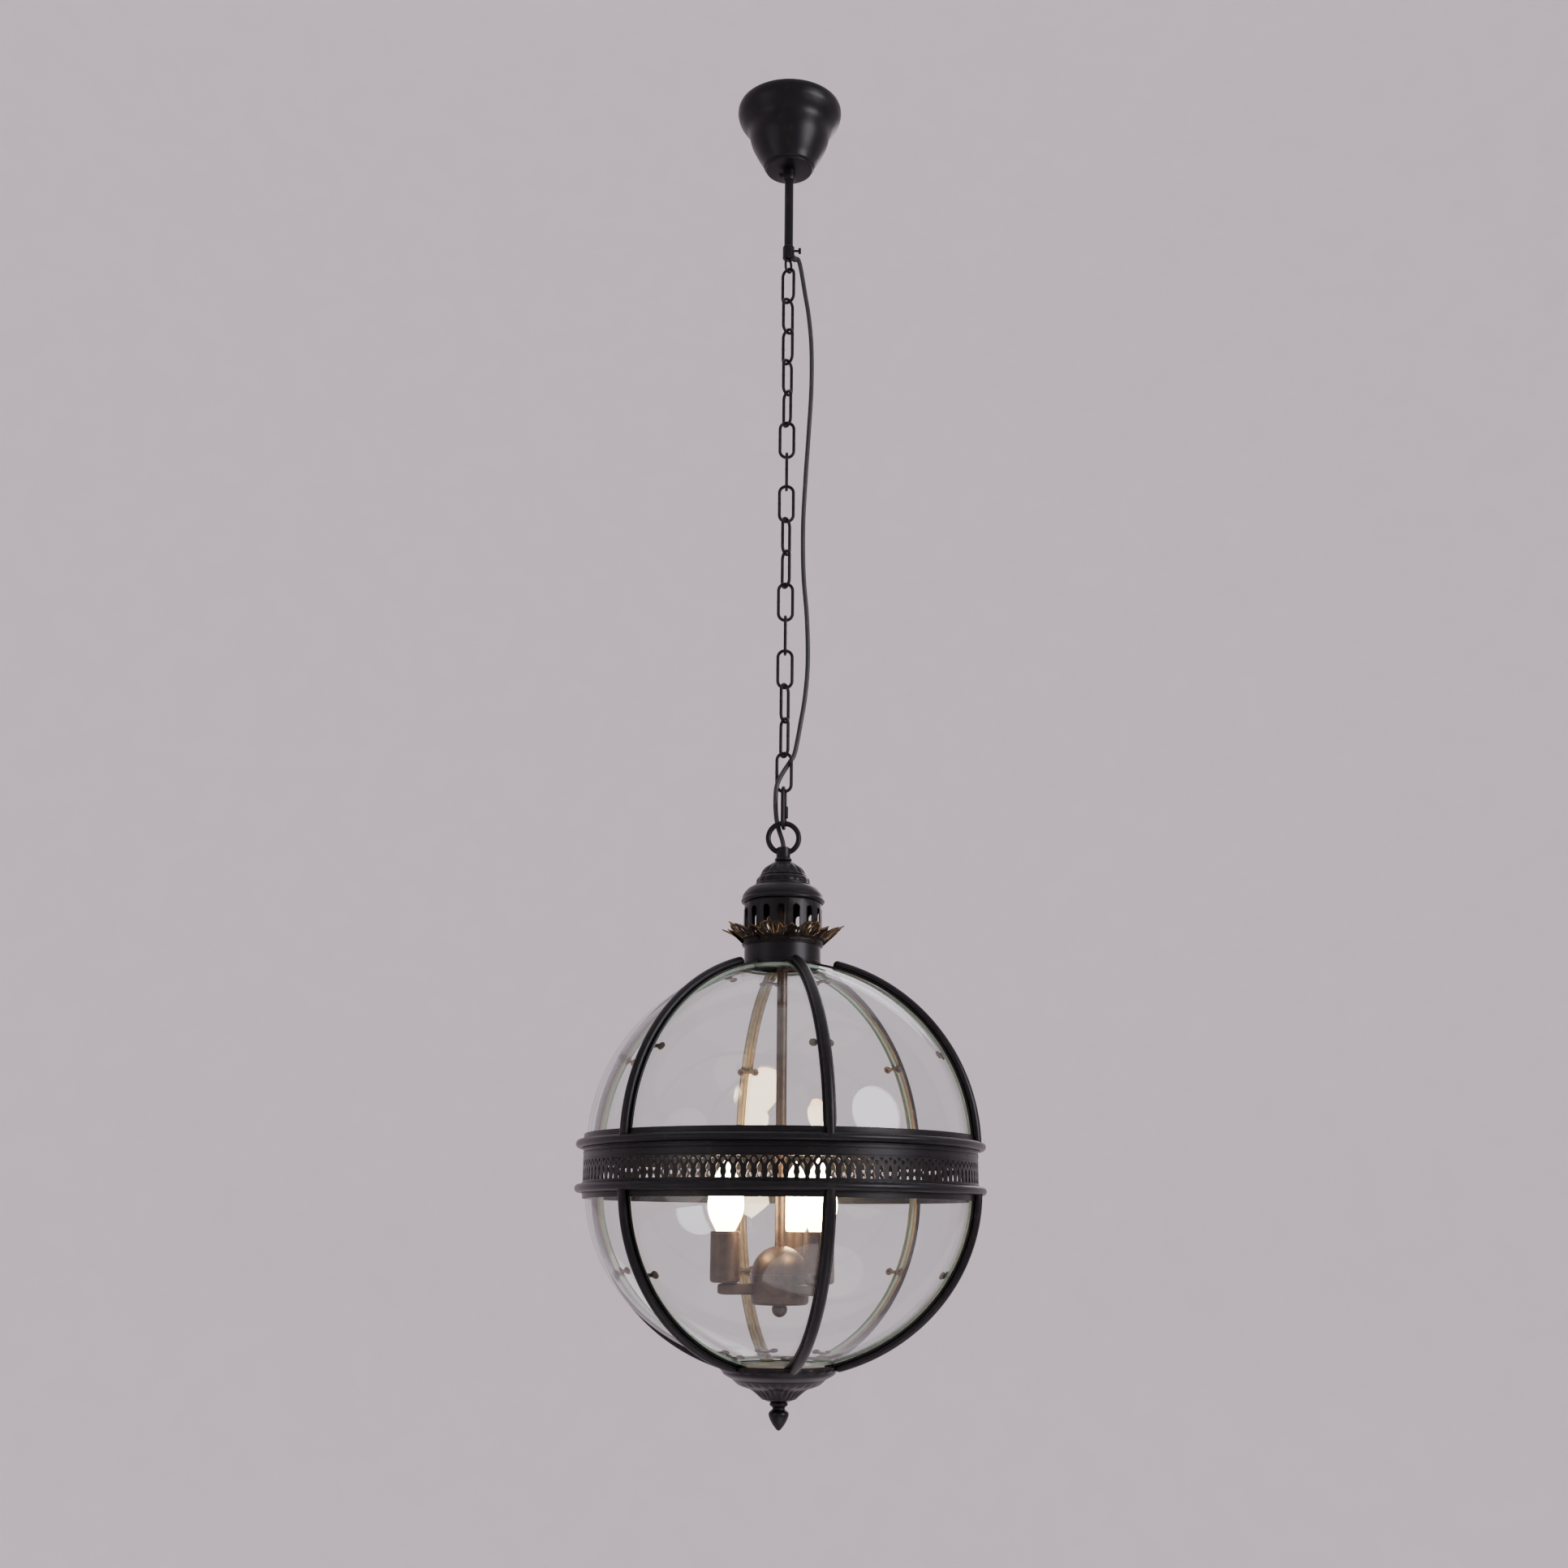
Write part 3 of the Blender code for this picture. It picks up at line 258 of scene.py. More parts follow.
class Shape:
    """The points and faces of one piece. A kind is a face's place in the piece's list of finishes."""

    def __init__(self):
        self.points, self.faces, self.kinds = [], [], []

    def add(self, points, faces, kind=0):
        base = len(self.points)
        self.points += [Vector(p) for p in points]
        self.faces += [[base + n for n in face] for face in faces]
        self.kinds += [kind] * len(faces)
        return self

    def loft(self, rings, closed, kind=0):
        """A skin over rings of equally many points. A skin that isn't closed gets flat ends."""
        size, count = len(rings[0]), len(rings)
        faces = []
        for i in range(count if closed else count - 1):
            first, second = i * size, (i + 1) % count * size
            for k in range(size):
                m = (k + 1) % size
                faces.append((first + k, first + m, second + m, second + k))
        if not closed:
            faces += [list(range(size)), list(range((count - 1) * size, count * size))]
        return self.add([p for ring in rings for p in ring], faces, kind)

    def lathe(self, outline, steps, z=0.0, lobes=0, centre=(0.0, 0.0), kind=0):
        """Turns a closed outline of (radius, height, lobe depth) round Z. The depth may be left out."""
        shift = Vector((centre[0], centre[1], z))
        rings = []
        for radius, height, *depth in outline:
            ring = []
            for step in range(steps):
                azimuth = 360 * step / steps
                pull = 1 - abs(math.sin(math.radians(lobes * azimuth / 2)))
                cut = depth[0] * pull if depth else 0.0
                ring.append(polar(radius - cut, azimuth, height) + shift)
            rings.append(ring)
        return self.loft(rings, True, kind)

    def tube(self, path, radii, sides, closed=False, across=None, kind=0):
        """A round wire along a path. across is the normal of a flat path."""
        rings = wire_rings(path, radii, sides, closed, across)
        return self.loft(rings, closed, kind)

    def prism(self, outline, depth, place, kind=0, taper=0.0):
        """A flat outline made depth thick, half to each side, its two faces pulled in by taper."""
        half, rings = depth / 2, []
        for z, pull in ((-half, taper), (-half + taper, 0.0), (half - taper, 0.0), (half, taper)):
            ring = []
            for x, y in outline:
                reach = math.hypot(x, y) or 1.0
                ring.append(place @ Vector((x - x / reach * pull, y - y / reach * pull, z)))
            rings.append(ring)
        return self.loft(rings if taper else [rings[0], rings[3]], False, kind)

    def ball(self, centre, radius, kind=0, rows=6, columns=10):
        rings = []
        for row in range(rows + 1):
            turn = math.pi * (row + 0.001 * (1 - 2 * row / rows)) / rows
            ring = [polar(radius * math.sin(turn), 360 * k / columns, radius * math.cos(turn)) for k in range(columns)]
            rings.append([p + centre for p in ring])
        return self.loft(rings, False, kind)


def wire_rings(path, radii, sides, closed=False, across=None):
    """Rings of points round a path that don't twist along it."""
    path = [Vector(p) for p in path]
    count = len(path)
    radii = radii if isinstance(radii, (list, tuple)) else [radii] * count
    side, rings = across, []
    for i, centre in enumerate(path):
        before = path[i - 1] if closed or i else centre
        after = path[(i + 1) % count] if closed or i < count - 1 else centre
        tangent = (after - before).normalized()
        if not across:
            side = side or tangent.orthogonal()
            side = (side - tangent * side.dot(tangent)).normalized()
        out = tangent.cross(side).normalized()
        turns = [2 * math.pi * k / sides for k in range(sides)]
        rings.append([centre + radii[i] * (math.cos(t) * side + math.sin(t) * out) for t in turns])
    return rings


def rounded(width, height, radius, steps=3):
    """A flat oblong with round corners."""
    line = []
    for x, y, start in ((1, 1, 0), (-1, 1, 90), (-1, -1, 180), (1, -1, 270)):
        line += arc(x * (width / 2 - radius), y * (height / 2 - radius), radius, start, start + 90, steps)
    return line


def upright(centre, azimuth):
    """Puts a flat outline's x sideways, its y up and its depth outwards, at this azimuth."""
    place = Matrix((polar(1, azimuth + 90, 0), Vector((0, 0, 1)), polar(1, azimuth, 0))).transposed().to_4x4()
    place.translation = centre
    return place


def pierced(shape, outline, holes, grid, count, wrap, kind=0):
    """A thin wall from one tile repeated: its outline and holes are flat, and wrap gives both faces' points.

    The tile runs from 0 to 1 across. Points on its left edge meet those on its right one.
    """
    flat, edges = [], []
    for line in [outline, *holes]:
        base = len(flat)
        flat += [Vector(p) for p in line]
        edges += [(base + k, base + (k + 1) % len(line)) for k in range(len(line))]
    flat += [Vector(p) for p in grid if inside(p, outline) and not any(inside(p, hole) for hole in holes)]
    points, _, triangles, *_ = delaunay_2d_cdt(flat, edges, [], 0, 1e-6)
    kept = []
    for triangle in triangles:
        middle = sum((points[n] for n in triangle), Vector((0, 0))) / 3
        if inside(middle, outline) and not any(inside(middle, hole) for hole in holes):
            kept.append(triangle)
    numbers, walls, outer, inner = {}, {}, [], []

    def number(tile, n):
        key = (round((tile + points[n].x) * 1e5) % (count * 100000), round(points[n].y * 1e7))
        if key not in numbers:
            numbers[key] = len(outer)
            front, back = wrap((tile + points[n].x) / count, points[n].y)
            outer.append(front)
            inner.append(back)
        return numbers[key]

    faces = [tuple(number(tile, n) for n in triangle) for tile in range(count) for triangle in kept]
    for face in faces:
        for pair in zip(face, face[1:] + face[:1]):
            walls[frozenset(pair)] = None if frozenset(pair) in walls else pair
    size = len(outer)
    back = [tuple(size + n for n in reversed(face)) for face in faces]
    sides = [(b, a, size + a, size + b) for a, b in filter(None, walls.values())]
    return shape.add(outer + inner, faces + back + sides, kind)


# Finishes


class Number:
    """A number that comes out of a node. Sums on it add Math nodes."""

    def __init__(self, finish, socket):
        self.finish, self.socket = finish, socket

    def math(self, operation, first, second, clamp=False):
        made = self.finish.node("Math", {"operation": operation, "use_clamp": clamp}, {0: first, 1: second})
        return Number(self.finish, made.outputs[0])

    def __add__(self, other):
        return self.math("ADD", self, other)

    def __sub__(self, other):
        return self.math("SUBTRACT", self, other)

    def __rsub__(self, other):
        return self.math("SUBTRACT", other, self)

    def __mul__(self, other):
        return self.math("MULTIPLY", self, other)

    def __pow__(self, other):
        return self.math("POWER", self, other)

    __radd__, __rmul__ = __add__, __mul__

    def rise(self, low, high):
        """0 below low and 1 above high, with a smooth step between."""
        settings = {"interpolation_type": "SMOOTHSTEP"}
        made = self.finish.node("MapRange", settings, {"Value": self, "From Min": low, "From Max": high})
        return Number(self.finish, made.outputs[0])


class Finish:
    """One material. Its surface is a Principled shader unless a finish puts another in its place."""

    def __init__(self, name):
        self.material = bpy.data.materials.new(name)
        self.material.use_nodes = True
        self.tree = self.material.node_tree
        self.shader = self.tree.nodes["Principled BSDF"]
        self.place = self.node("TexCoord").outputs

    def node(self, kind, settings=None, sockets=None):
        """Adds a node: its settings first, then its sockets' numbers or links."""
        made = self.tree.nodes.new("ShaderNode" + kind)
        for key, value in (settings or {}).items():
            if key == "stops":
                for stop, (position, colour) in zip(made.color_ramp.elements, value):
                    stop.position, stop.color = position, (*colour, 1.0)
            else:
                setattr(made, key, value)
        for key, value in (sockets or {}).items():
            self.feed(made.inputs[key], value)
        return made

    def feed(self, socket, value):
        if isinstance(value, Number):
            value = value.socket
        if isinstance(value, bpy.types.NodeSocket):
            self.tree.links.new(value, socket)
        else:
            socket.default_value = value

    def noise(self, scale, detail=3.0, stretch=(1.0, 1.0, 1.0)):
        """Cloudy grain. A scale of 100 has patches of about a centimetre."""
        sockets = {"Vector": self.place["Object"], "Scale": stretch}
        spread = self.node("Mapping", {}, sockets).outputs[0]
        made = self.node("TexNoise", {}, {"Vector": spread, "Scale": scale, "Detail": detail})
        return Number(self, made.outputs[0])

    def facing_up(self):
        made = self.node("SeparateXYZ", {}, {0: self.place["Normal"]})
        return Number(self, made.outputs["Z"])

    def mix(self, share, first, second):
        """A colour between two colours, or between a colour and another mix."""
        full = [c if isinstance(c, bpy.types.NodeSocket) else (*c, 1.0) for c in (first, second)]
        made = self.node("Mix", {"data_type": "RGBA"}, {0: share, 6: full[0], 7: full[1]})
        return made.outputs[2]

    def surface(self, **values):
        """Sets the shader's sockets: base_color feeds Base Color."""
        for key, value in values.items():
            if isinstance(value, tuple):
                value = (*value, 1.0)
            self.feed(self.shader.inputs[key.replace("_", " ").title().replace("Ior", "IOR")], value)

    def bump(self, height, distance, strength=0.5):
        made = self.node("Bump", {}, {"Height": height, "Distance": distance, "Strength": strength})
        self.feed(self.shader.inputs["Normal"], made.outputs[0])


def black_iron(finish, looks):
    """Satin black enamel with a soft cloudiness, brown rub-through and a little dust on top."""
    cloud, fine = finish.noise(70, 4), finish.noise(1500, 2)
    rubbed = (cloud * 0.55 + fine * 0.45).rise(0.56, 0.66) * looks.wear
    dust = finish.facing_up().rise(0.4, 1.0) * finish.noise(260, 4).rise(0.45, 0.75)
    coat = finish.mix(rubbed, tuple(looks.iron), (0.040, 0.027, 0.019))
    finish.surface(base_color=finish.mix(dust * 0.25, coat, (0.07, 0.065, 0.065)))
    finish.surface(metallic=0.45, roughness=0.28 + cloud * 0.14 + dust * 0.15, specular_ior_level=0.32)
    finish.bump(fine + cloud * 0.6, 0.00012, 0.35)


def worn_link(finish, looks):
    """Black enamel that the links' rubbing has worn to brown in spots."""
    cloud, fine = finish.noise(160, 4), finish.noise(1900, 2)
    rubbed = (cloud * 0.6 + fine * 0.4).rise(0.52, 0.62) * looks.wear
    finish.surface(base_color=finish.mix(rubbed, tuple(looks.iron), (0.050, 0.034, 0.024)))
    finish.surface(metallic=0.5, roughness=0.32 + cloud * 0.16, specular_ior_level=0.35)
    finish.bump(fine * 0.5 + cloud, 0.00025, 0.4)


def bronze_with_painted_bulb_light(finish, looks):
    """The bars' inner faces and the plates inside the globe: brown bronze lacquer with long brushing, made lighter and
    golden to paint the bulbs' warm light on these inward faces.
    """
    brushing = finish.noise(240, 3, (1.0, 1.0, 0.12))
    cloud = finish.noise(90, 3)
    # Painted light: these golden browns are lighter than the bronze itself, to paint the glow of the bulbs on the
    # faces that look at them.
    colour = finish.mix(brushing.rise(0.3, 0.7), (0.16, 0.105, 0.060), (0.26, 0.175, 0.100))
    finish.surface(base_color=finish.mix(cloud.rise(0.5, 0.75) * 0.5, colour, (0.08, 0.052, 0.034)))
    finish.surface(metallic=0.55, roughness=0.38 + cloud * 0.15)
    finish.bump(brushing, 0.0001, 0.3)


def dark_bronze(finish, looks):
    """Brown bronze with a fine speckled patina."""
    speckle, cloud = finish.noise(2400, 1), finish.noise(120, 4)
    colour = finish.mix(cloud.rise(0.35, 0.7), tuple(looks.bronze), (0.045, 0.031, 0.022))
    colour = finish.mix(speckle.rise(0.58, 0.66) * 0.65, colour, (0.23, 0.160, 0.105))
    finish.surface(base_color=finish.mix((1 - speckle).rise(0.58, 0.66) * 0.7, colour, (0.016, 0.011, 0.008)))
    finish.surface(metallic=0.6, roughness=0.34 + cloud * 0.16, specular_ior_level=0.4)
    finish.bump(speckle, 0.00012, 0.45)


def rubbed_gold(finish, looks):
    """Raised leaf edges, rubbed through to gold here and there."""
    cloud, fine = finish.noise(130, 4), finish.noise(2600, 2)
    left = (cloud * 0.7 + fine * 0.3).rise(0.40, 0.58)
    finish.surface(base_color=finish.mix(left, tuple(looks.gold), (0.022, 0.016, 0.012)))
    finish.surface(metallic=0.8, roughness=0.30 + left * 0.22)
    finish.bump(fine + cloud, 0.00015, 0.5)


def leaf_dark(finish, looks):
    """The coronet's ground: nearly black bronze with a trace of gold."""
    cloud, fine = finish.noise(300, 4), finish.noise(2100, 2)
    trace = (cloud * 0.5 + fine * 0.5).rise(0.58, 0.70)
    finish.surface(base_color=finish.mix(trace * 0.5, (0.010, 0.008, 0.007), tuple(looks.gold)))
    finish.surface(metallic=0.6, roughness=0.42 + cloud * 0.15, specular_ior_level=0.35)
    finish.bump(fine + cloud, 0.0002, 0.5)


def zinc_steel(finish, looks):
    """Zinc plating with a faint spangle and rolled lines."""
    spangle = finish.node("TexVoronoi", {}, {"Vector": finish.place["Object"], "Scale": 500.0})
    flake = Number(finish, spangle.outputs["Distance"])
    lines = finish.noise(900, 2, (1.0, 0.06, 1.0))
    finish.surface(base_color=finish.mix(flake.rise(0.0, 0.8), (0.58, 0.58, 0.60), (0.46, 0.46, 0.48)))
    finish.surface(metallic=1.0, roughness=0.28 + lines * 0.18)
    finish.bump(lines, 0.00005, 0.3)


def glazed_white(finish, looks):
    """Ceramic with a slight glaze and fine pits."""
    pits, cloud = finish.noise(1800, 2), finish.noise(80, 3)
    finish.surface(base_color=finish.mix(cloud.rise(0.3, 0.8), (0.78, 0.76, 0.71), (0.69, 0.66, 0.60)))
    finish.surface(roughness=0.35 + pits * 0.2, coat_weight=0.3)
    finish.bump(pits, 0.0001, 0.3)


def cord_sheath(finish, looks):
    """Black sheath with faint mould lines and scuffs."""
    lines, scuff = finish.noise(700, 2, (1.0, 1.0, 0.1)), finish.noise(240, 4)
    finish.surface(base_color=finish.mix(scuff.rise(0.55, 0.75) * 0.5, (0.013, 0.013, 0.014), (0.05, 0.048, 0.047)))
    finish.surface(roughness=0.42 + scuff * 0.2)
    finish.bump(lines, 0.0001, 0.25)


def clear_glass(finish, looks):
    """Thin clear glass: it lets the light through, faintly green, and mirrors at a slant."""
    film = finish.noise(45, 3)
    through = finish.node("BsdfTransparent", {}, {"Color": (*looks.glass, 1.0)})
    mirror = finish.node("BsdfGlossy", {}, {"Color": (0.97, 0.98, 1.0, 1.0), "Roughness": 0.02})
    slant = Number(finish, finish.node("LayerWeight", {}, {"Blend": 0.5}).outputs["Facing"])
    share = slant**5 * 0.55 + 0.030 + film.rise(0.5, 0.9) * 0.008
    both = finish.node("MixShader", {}, {0: share, 1: through.outputs[0], 2: mirror.outputs[0]})
    finish.feed(finish.tree.nodes["Material Output"].inputs["Surface"], both.outputs[0])


def glass_edge(finish, looks):
    """The green ground edge of the glass."""
    ground = finish.noise(1200, 3)
    finish.surface(base_color=finish.mix(ground.rise(0.3, 0.7), (0.17, 0.26, 0.21), (0.34, 0.44, 0.38)))
    finish.surface(roughness=0.25 + ground * 0.3, coat_weight=0.5)
    finish.bump(ground, 0.0001, 0.3)


def bulb_glow(finish, looks):
    """The bulb's glass, lit through from within: whiter in the middle of its height."""
    height = finish.node("SeparateXYZ", {}, {0: finish.place["Object"]}).outputs["Z"]
    share = Number(finish, height).rise(ARM_TOP + SLEEVE_H - 0.004, ARM_TOP + SLEEVE_H + 0.030)
    haze = finish.noise(60, 2) * 0.2
    finish.surface(base_color=(1.0, 0.9, 0.75), roughness=0.12, emission_strength=looks.glow)
    finish.surface(emission_color=finish.mix(share * 0.8 + haze, (1.0, 0.50, 0.18), (1.0, 0.80, 0.52)))


def lamp_brass(finish, looks):
    """The bulb's screw shell."""
    cloud = finish.noise(500, 3)
    finish.surface(base_color=finish.mix(cloud.rise(0.3, 0.7), (0.62, 0.46, 0.22), (0.42, 0.30, 0.14)))
    finish.surface(metallic=1.0, roughness=0.25 + cloud * 0.2)
    finish.bump(cloud, 0.0001, 0.3)


def studio_paper(finish, looks):
    """The matt paper of the floor and the wall behind."""
    fibre = finish.noise(9, 4)
    finish.surface(base_color=finish.mix(fibre.rise(0.2, 0.8), tuple(looks.paper), tuple(looks.paper * 0.96)))
    finish.surface(roughness=0.85, specular_ior_level=0.1)


FINISHES = (black_iron, worn_link, bronze_with_painted_bulb_light, dark_bronze, rubbed_gold, leaf_dark, zinc_steel, glazed_white)
FINISHES += (cord_sheath, clear_glass, glass_edge, bulb_glow, lamp_brass, studio_paper)


def material_of(maker):
    """The material that one of the finishes above makes, made once."""
    name = f"finished_{maker.__name__}"
    found = bpy.data.materials.get(name)
    if found is None:
        finish = Finish(name)
        maker(finish, bpy.context.scene.lantern_looks)
        found = finish.material
    return found


def mesh_object(name, shape, finishes, crease=35.0):
    mesh = bpy.data.meshes.new(name)
    mesh.from_pydata(shape.points, [], shape.faces)
    mesh.polygons.foreach_set("material_index", shape.kinds)
    work = bmesh.new()
    work.from_mesh(mesh)
    bmesh.ops.remove_doubles(work, verts=work.verts, dist=WELD)
    bmesh.ops.recalc_face_normals(work, faces=work.faces)
    work.to_mesh(mesh)
    work.free()
    mesh.shade_smooth()
    mesh.set_sharp_from_angle(angle=math.radians(crease))
    for maker in finishes:
        mesh.materials.append(material_of(maker))
    obj = bpy.data.objects.new(name, mesh)
    bpy.context.scene.collection.objects.link(obj)
    return obj


def place(name, shape, finishes, body, slot, nodes=(), crease=35.0, bevel=0.0):
    """Makes a piece, puts it on its body and lets it stand for its solids."""
    obj = mesh_object(name, shape, finishes, crease)
    if bevel:
        modifier = obj.modifiers.new("soft edges", "BEVEL")
        modifier.width = bevel
        modifier.segments = 2
        modifier.limit_method = "ANGLE"
        modifier.harden_normals = False
    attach(obj, body)
    if nodes:
        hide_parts(*nodes)
    return obj


def refinish(node, maker):
    """Gives a solid that keeps its shape a finished material."""
    obj = frame["nodes"][node]
    obj.data.materials.clear()
    obj.data.materials.append(material_of(maker))
    obj.data.shade_smooth()
    obj.data.set_sharp_from_angle(angle=math.radians(30))


class LanternLooks(bpy.types.PropertyGroup):
    """Colours that a user would change."""

    def colour(name, description, default):
        return bpy.props.FloatVectorProperty(
            name=name, description=description, default=default, subtype="COLOR", min=0.0, max=1.0
        )

    iron: colour("Iron", "Colour of the black enamel", (0.0065, 0.0062, 0.0072))
    bronze: colour("Bronze", "Main colour of the candle cluster", (0.080, 0.056, 0.039))
    gold: colour("Gold", "Colour of the coronet's rubbed edges", (0.36, 0.215, 0.085))
    glass: colour("Glass", "Light that one face of the glass lets through", (0.965, 0.98, 0.97))
    paper: colour("Backdrop", "Colour of the floor and the wall", (0.86, 0.80, 0.82))
    wear: bpy.props.FloatProperty(
        name="Wear", description="How much brown shows through the enamel", default=0.45, min=0.0, max=1.0
    )
    glow: bpy.props.FloatProperty(
        name="Glow", description="Strength of the bulbs' light", default=42.0, min=0.0, max=200.0
    )


class LanternSizes(bpy.types.PropertyGroup):
    """Counts and sizes that a user would change."""

    strip_bays: bpy.props.IntProperty(
        name="Strip Bays", description="Pierced bays round the belt", default=130, min=30, max=200
    )
    crown_flutes: bpy.props.IntProperty(
        name="Crown Flutes", description="Flutes round the crown", default=16, min=6, max=40
    )
    base_reeds: bpy.props.IntProperty(
        name="Base Reeds", description="Reeds round the base's rim", default=56, min=12, max=90
    )
    bead: bpy.props.FloatProperty(
        name="Coronet Bead", description="Radius of the beads under the leaves", default=0.00125,
        min=0.0004, max=0.002, unit="LENGTH", subtype="DISTANCE", precision=5
    )


# Pieces


def swing_joints():
    """The joints that a chain link, the quick link or the lantern swings on, from the top down."""
    found = [joint for joint in frame["joints"] if joint["name"].endswith("_swing")]
    return sorted(found, key=lambda joint: -joint["pos_m"][2])


CORD_R = 0.0025
CORD_BEND_R = 0.010
CORD_SHIFT = -0.0012


def cord_bend(degrees):
    """A point of the cord's bend inside the coupler, this far round from hanging straight."""
    turn = math.radians(degrees)
    x = CORD_SHIFT + CORD_BEND_R * (1 - math.cos(turn))
    return Vector((x, 0, COUPLER_TOP - 0.003 - CORD_BEND_R * math.sin(turn)))


def cord_route():
    """The cord's middle line, from the terminal block to the top of the lantern's centre tube."""
    route = [Vector((0, 0.0207, -0.0200)), Vector((0, 0.0150, -0.0200)), Vector((0, 0.0100, -0.0200))]
    for degrees in (30, 60, 90):
        turn = math.radians(degrees)
        y, z = CORD_BEND_R * (1 - math.sin(turn)), CORD_BEND_R * (math.cos(turn) - 3)
        route.append(Vector((0, y, z)))
    route += [Vector((0, 0, -0.0450)), Vector((-0.0010, 0, COUPLER_TOP + 0.010))]
    route += [cord_bend(degrees) for degrees in (0, 15, 32, 50)]
    start, turn = cord_bend(50), math.radians(50)
    lean = Vector((math.sin(turn), 0, -math.cos(turn)))
    route += [start + lean * 0.006, start + lean * 0.013]

    def beside(share, x, y):
        return Vector((x, y, LINK_TOP + share * (CHAIN_FOOT - LINK_TOP)))

    route += [beside(0.055, 0.0190, 0.000), beside(0.10, 0.0232, 0.001), beside(0.16, 0.0262, 0.002)]
    route += [beside(0.24, 0.0264, 0.003), beside(0.32, 0.0240, 0.003), beside(0.42, 0.0205, 0.003)]
    route += [beside(0.51, 0.0182, 0.003), beside(0.60, 0.0190, 0.004), beside(0.68, 0.0228, 0.005)]
    route += [beside(0.76, 0.0240, 0.006), beside(0.82, 0.0216, 0.0075), beside(0.87, 0.0170, 0.0085)]

    def from_link(x, y, z):
        return Vector((x, y, CHAIN_FOOT + z))

    route += [from_link(0.0112, 0.0082, 0.0465), from_link(0.0060, 0.0052, 0.0350)]
    route += [from_link(0.0000, 0.0000, 0.0240), from_link(-0.0048, -0.0042, 0.0140)]
    route += [from_link(-0.0078, -0.0062, 0.0040), from_link(-0.0085, -0.0048, -0.0080)]

    def from_loop(x, y, z):
        return Vector((x, y, LOOP_Z + z))

    route += [from_loop(-0.0082, 0.0010, 0.0290), from_loop(-0.0068, 0.0062, 0.0180)]
    route += [from_loop(-0.0042, 0.0066, 0.0080), from_loop(-0.0014, 0.0030, -0.0010)]
    route += [from_loop(0, 0.0004, -0.0090), Vector((0, 0, NECK_TOP - 0.006))]
    route += [Vector((0, 0, SHANK_FOOT + 0.004)), Vector((0, 0, SHANK_FOOT - 0.010))]
    return route


class LANTERN_OT_stage(bpy.types.Operator):
    """A round paper bowl, soft lights and the camera."""

    bl_idname = "lantern.stage"
    bl_label = "Stage, Lights and Camera"

    def execute(self, context):
        floor, radius, fillet, top = -3.0, 4.6, 1.6, 5.5
        outline = [(0.02, floor)] + [(x, floor) for x in (1.0, 2.0)]
        outline += arc(radius - fillet, floor + fillet, fillet, -90, 0, 14) + [(radius, top)]
        rings = [[polar(r, 360 * k / 96, z) for k in range(96)] for r, z in outline]
        bowl = Shape()
        size = 96
        for i in range(len(rings) - 1):
            faces = [(k, (k + 1) % size, size + (k + 1) % size, size + k) for k in range(size)]
            bowl.add(rings[i] + rings[i + 1], faces)
        bowl.add(rings[0], [list(range(size))])
        backdrop = mesh_object("backdrop", bowl, [studio_paper])

        world = bpy.data.worlds.new("soft room")
        world.use_nodes = True
        sky = world.node_tree.nodes["Background"]
        sky.inputs["Color"].default_value = (0.93, 0.90, 0.96, 1.0)
        sky.inputs["Strength"].default_value = 1.2
        context.scene.world = world

        middle = Vector((0, 0, BELT_Z + 0.1))
        lights = (
            ("key", (2.3, -1.5, -0.35), 1.5, 62.0, (0.96, 0.94, 1.0)),
            ("fill", (-2.6, -1.8, -1.0), 1.8, 10.0, (1.0, 0.97, 0.98)),
            ("back", (0.9, 2.6, 0.2), 1.6, 15.0, (0.97, 0.95, 1.0)),
            ("under", (0.5, -0.8, -2.8), 1.6, 8.0, (1.0, 0.96, 0.97)),
        )
        for name, where, size, power, colour in lights:
            lamp = bpy.data.lights.new(name, "AREA")
            lamp.shape, lamp.size, lamp.energy, lamp.color = "DISK", size, power, colour
            holder = bpy.data.objects.new(name, lamp)
            holder.location = where
            holder.rotation_euler = (middle - Vector(where)).to_track_quat("-Z", "Y").to_euler()
            holder.visible_camera = False
            context.scene.collection.objects.link(holder)

        lens = bpy.data.cameras.new("view")
        lens.lens, lens.sensor_width = 40.14, 36.0
        camera = bpy.data.objects.new("view", lens)
        camera.location = (0, -1.750, BELT_Z - 0.061)
        pitch = Matrix.Rotation(math.radians(90 + 14.4), 4, "X")
        camera.rotation_euler = (pitch @ Matrix.Rotation(math.radians(0.49), 4, "Z")).to_euler()
        context.scene.collection.objects.link(camera)
        context.scene.camera = camera
        return {"FINISHED"}


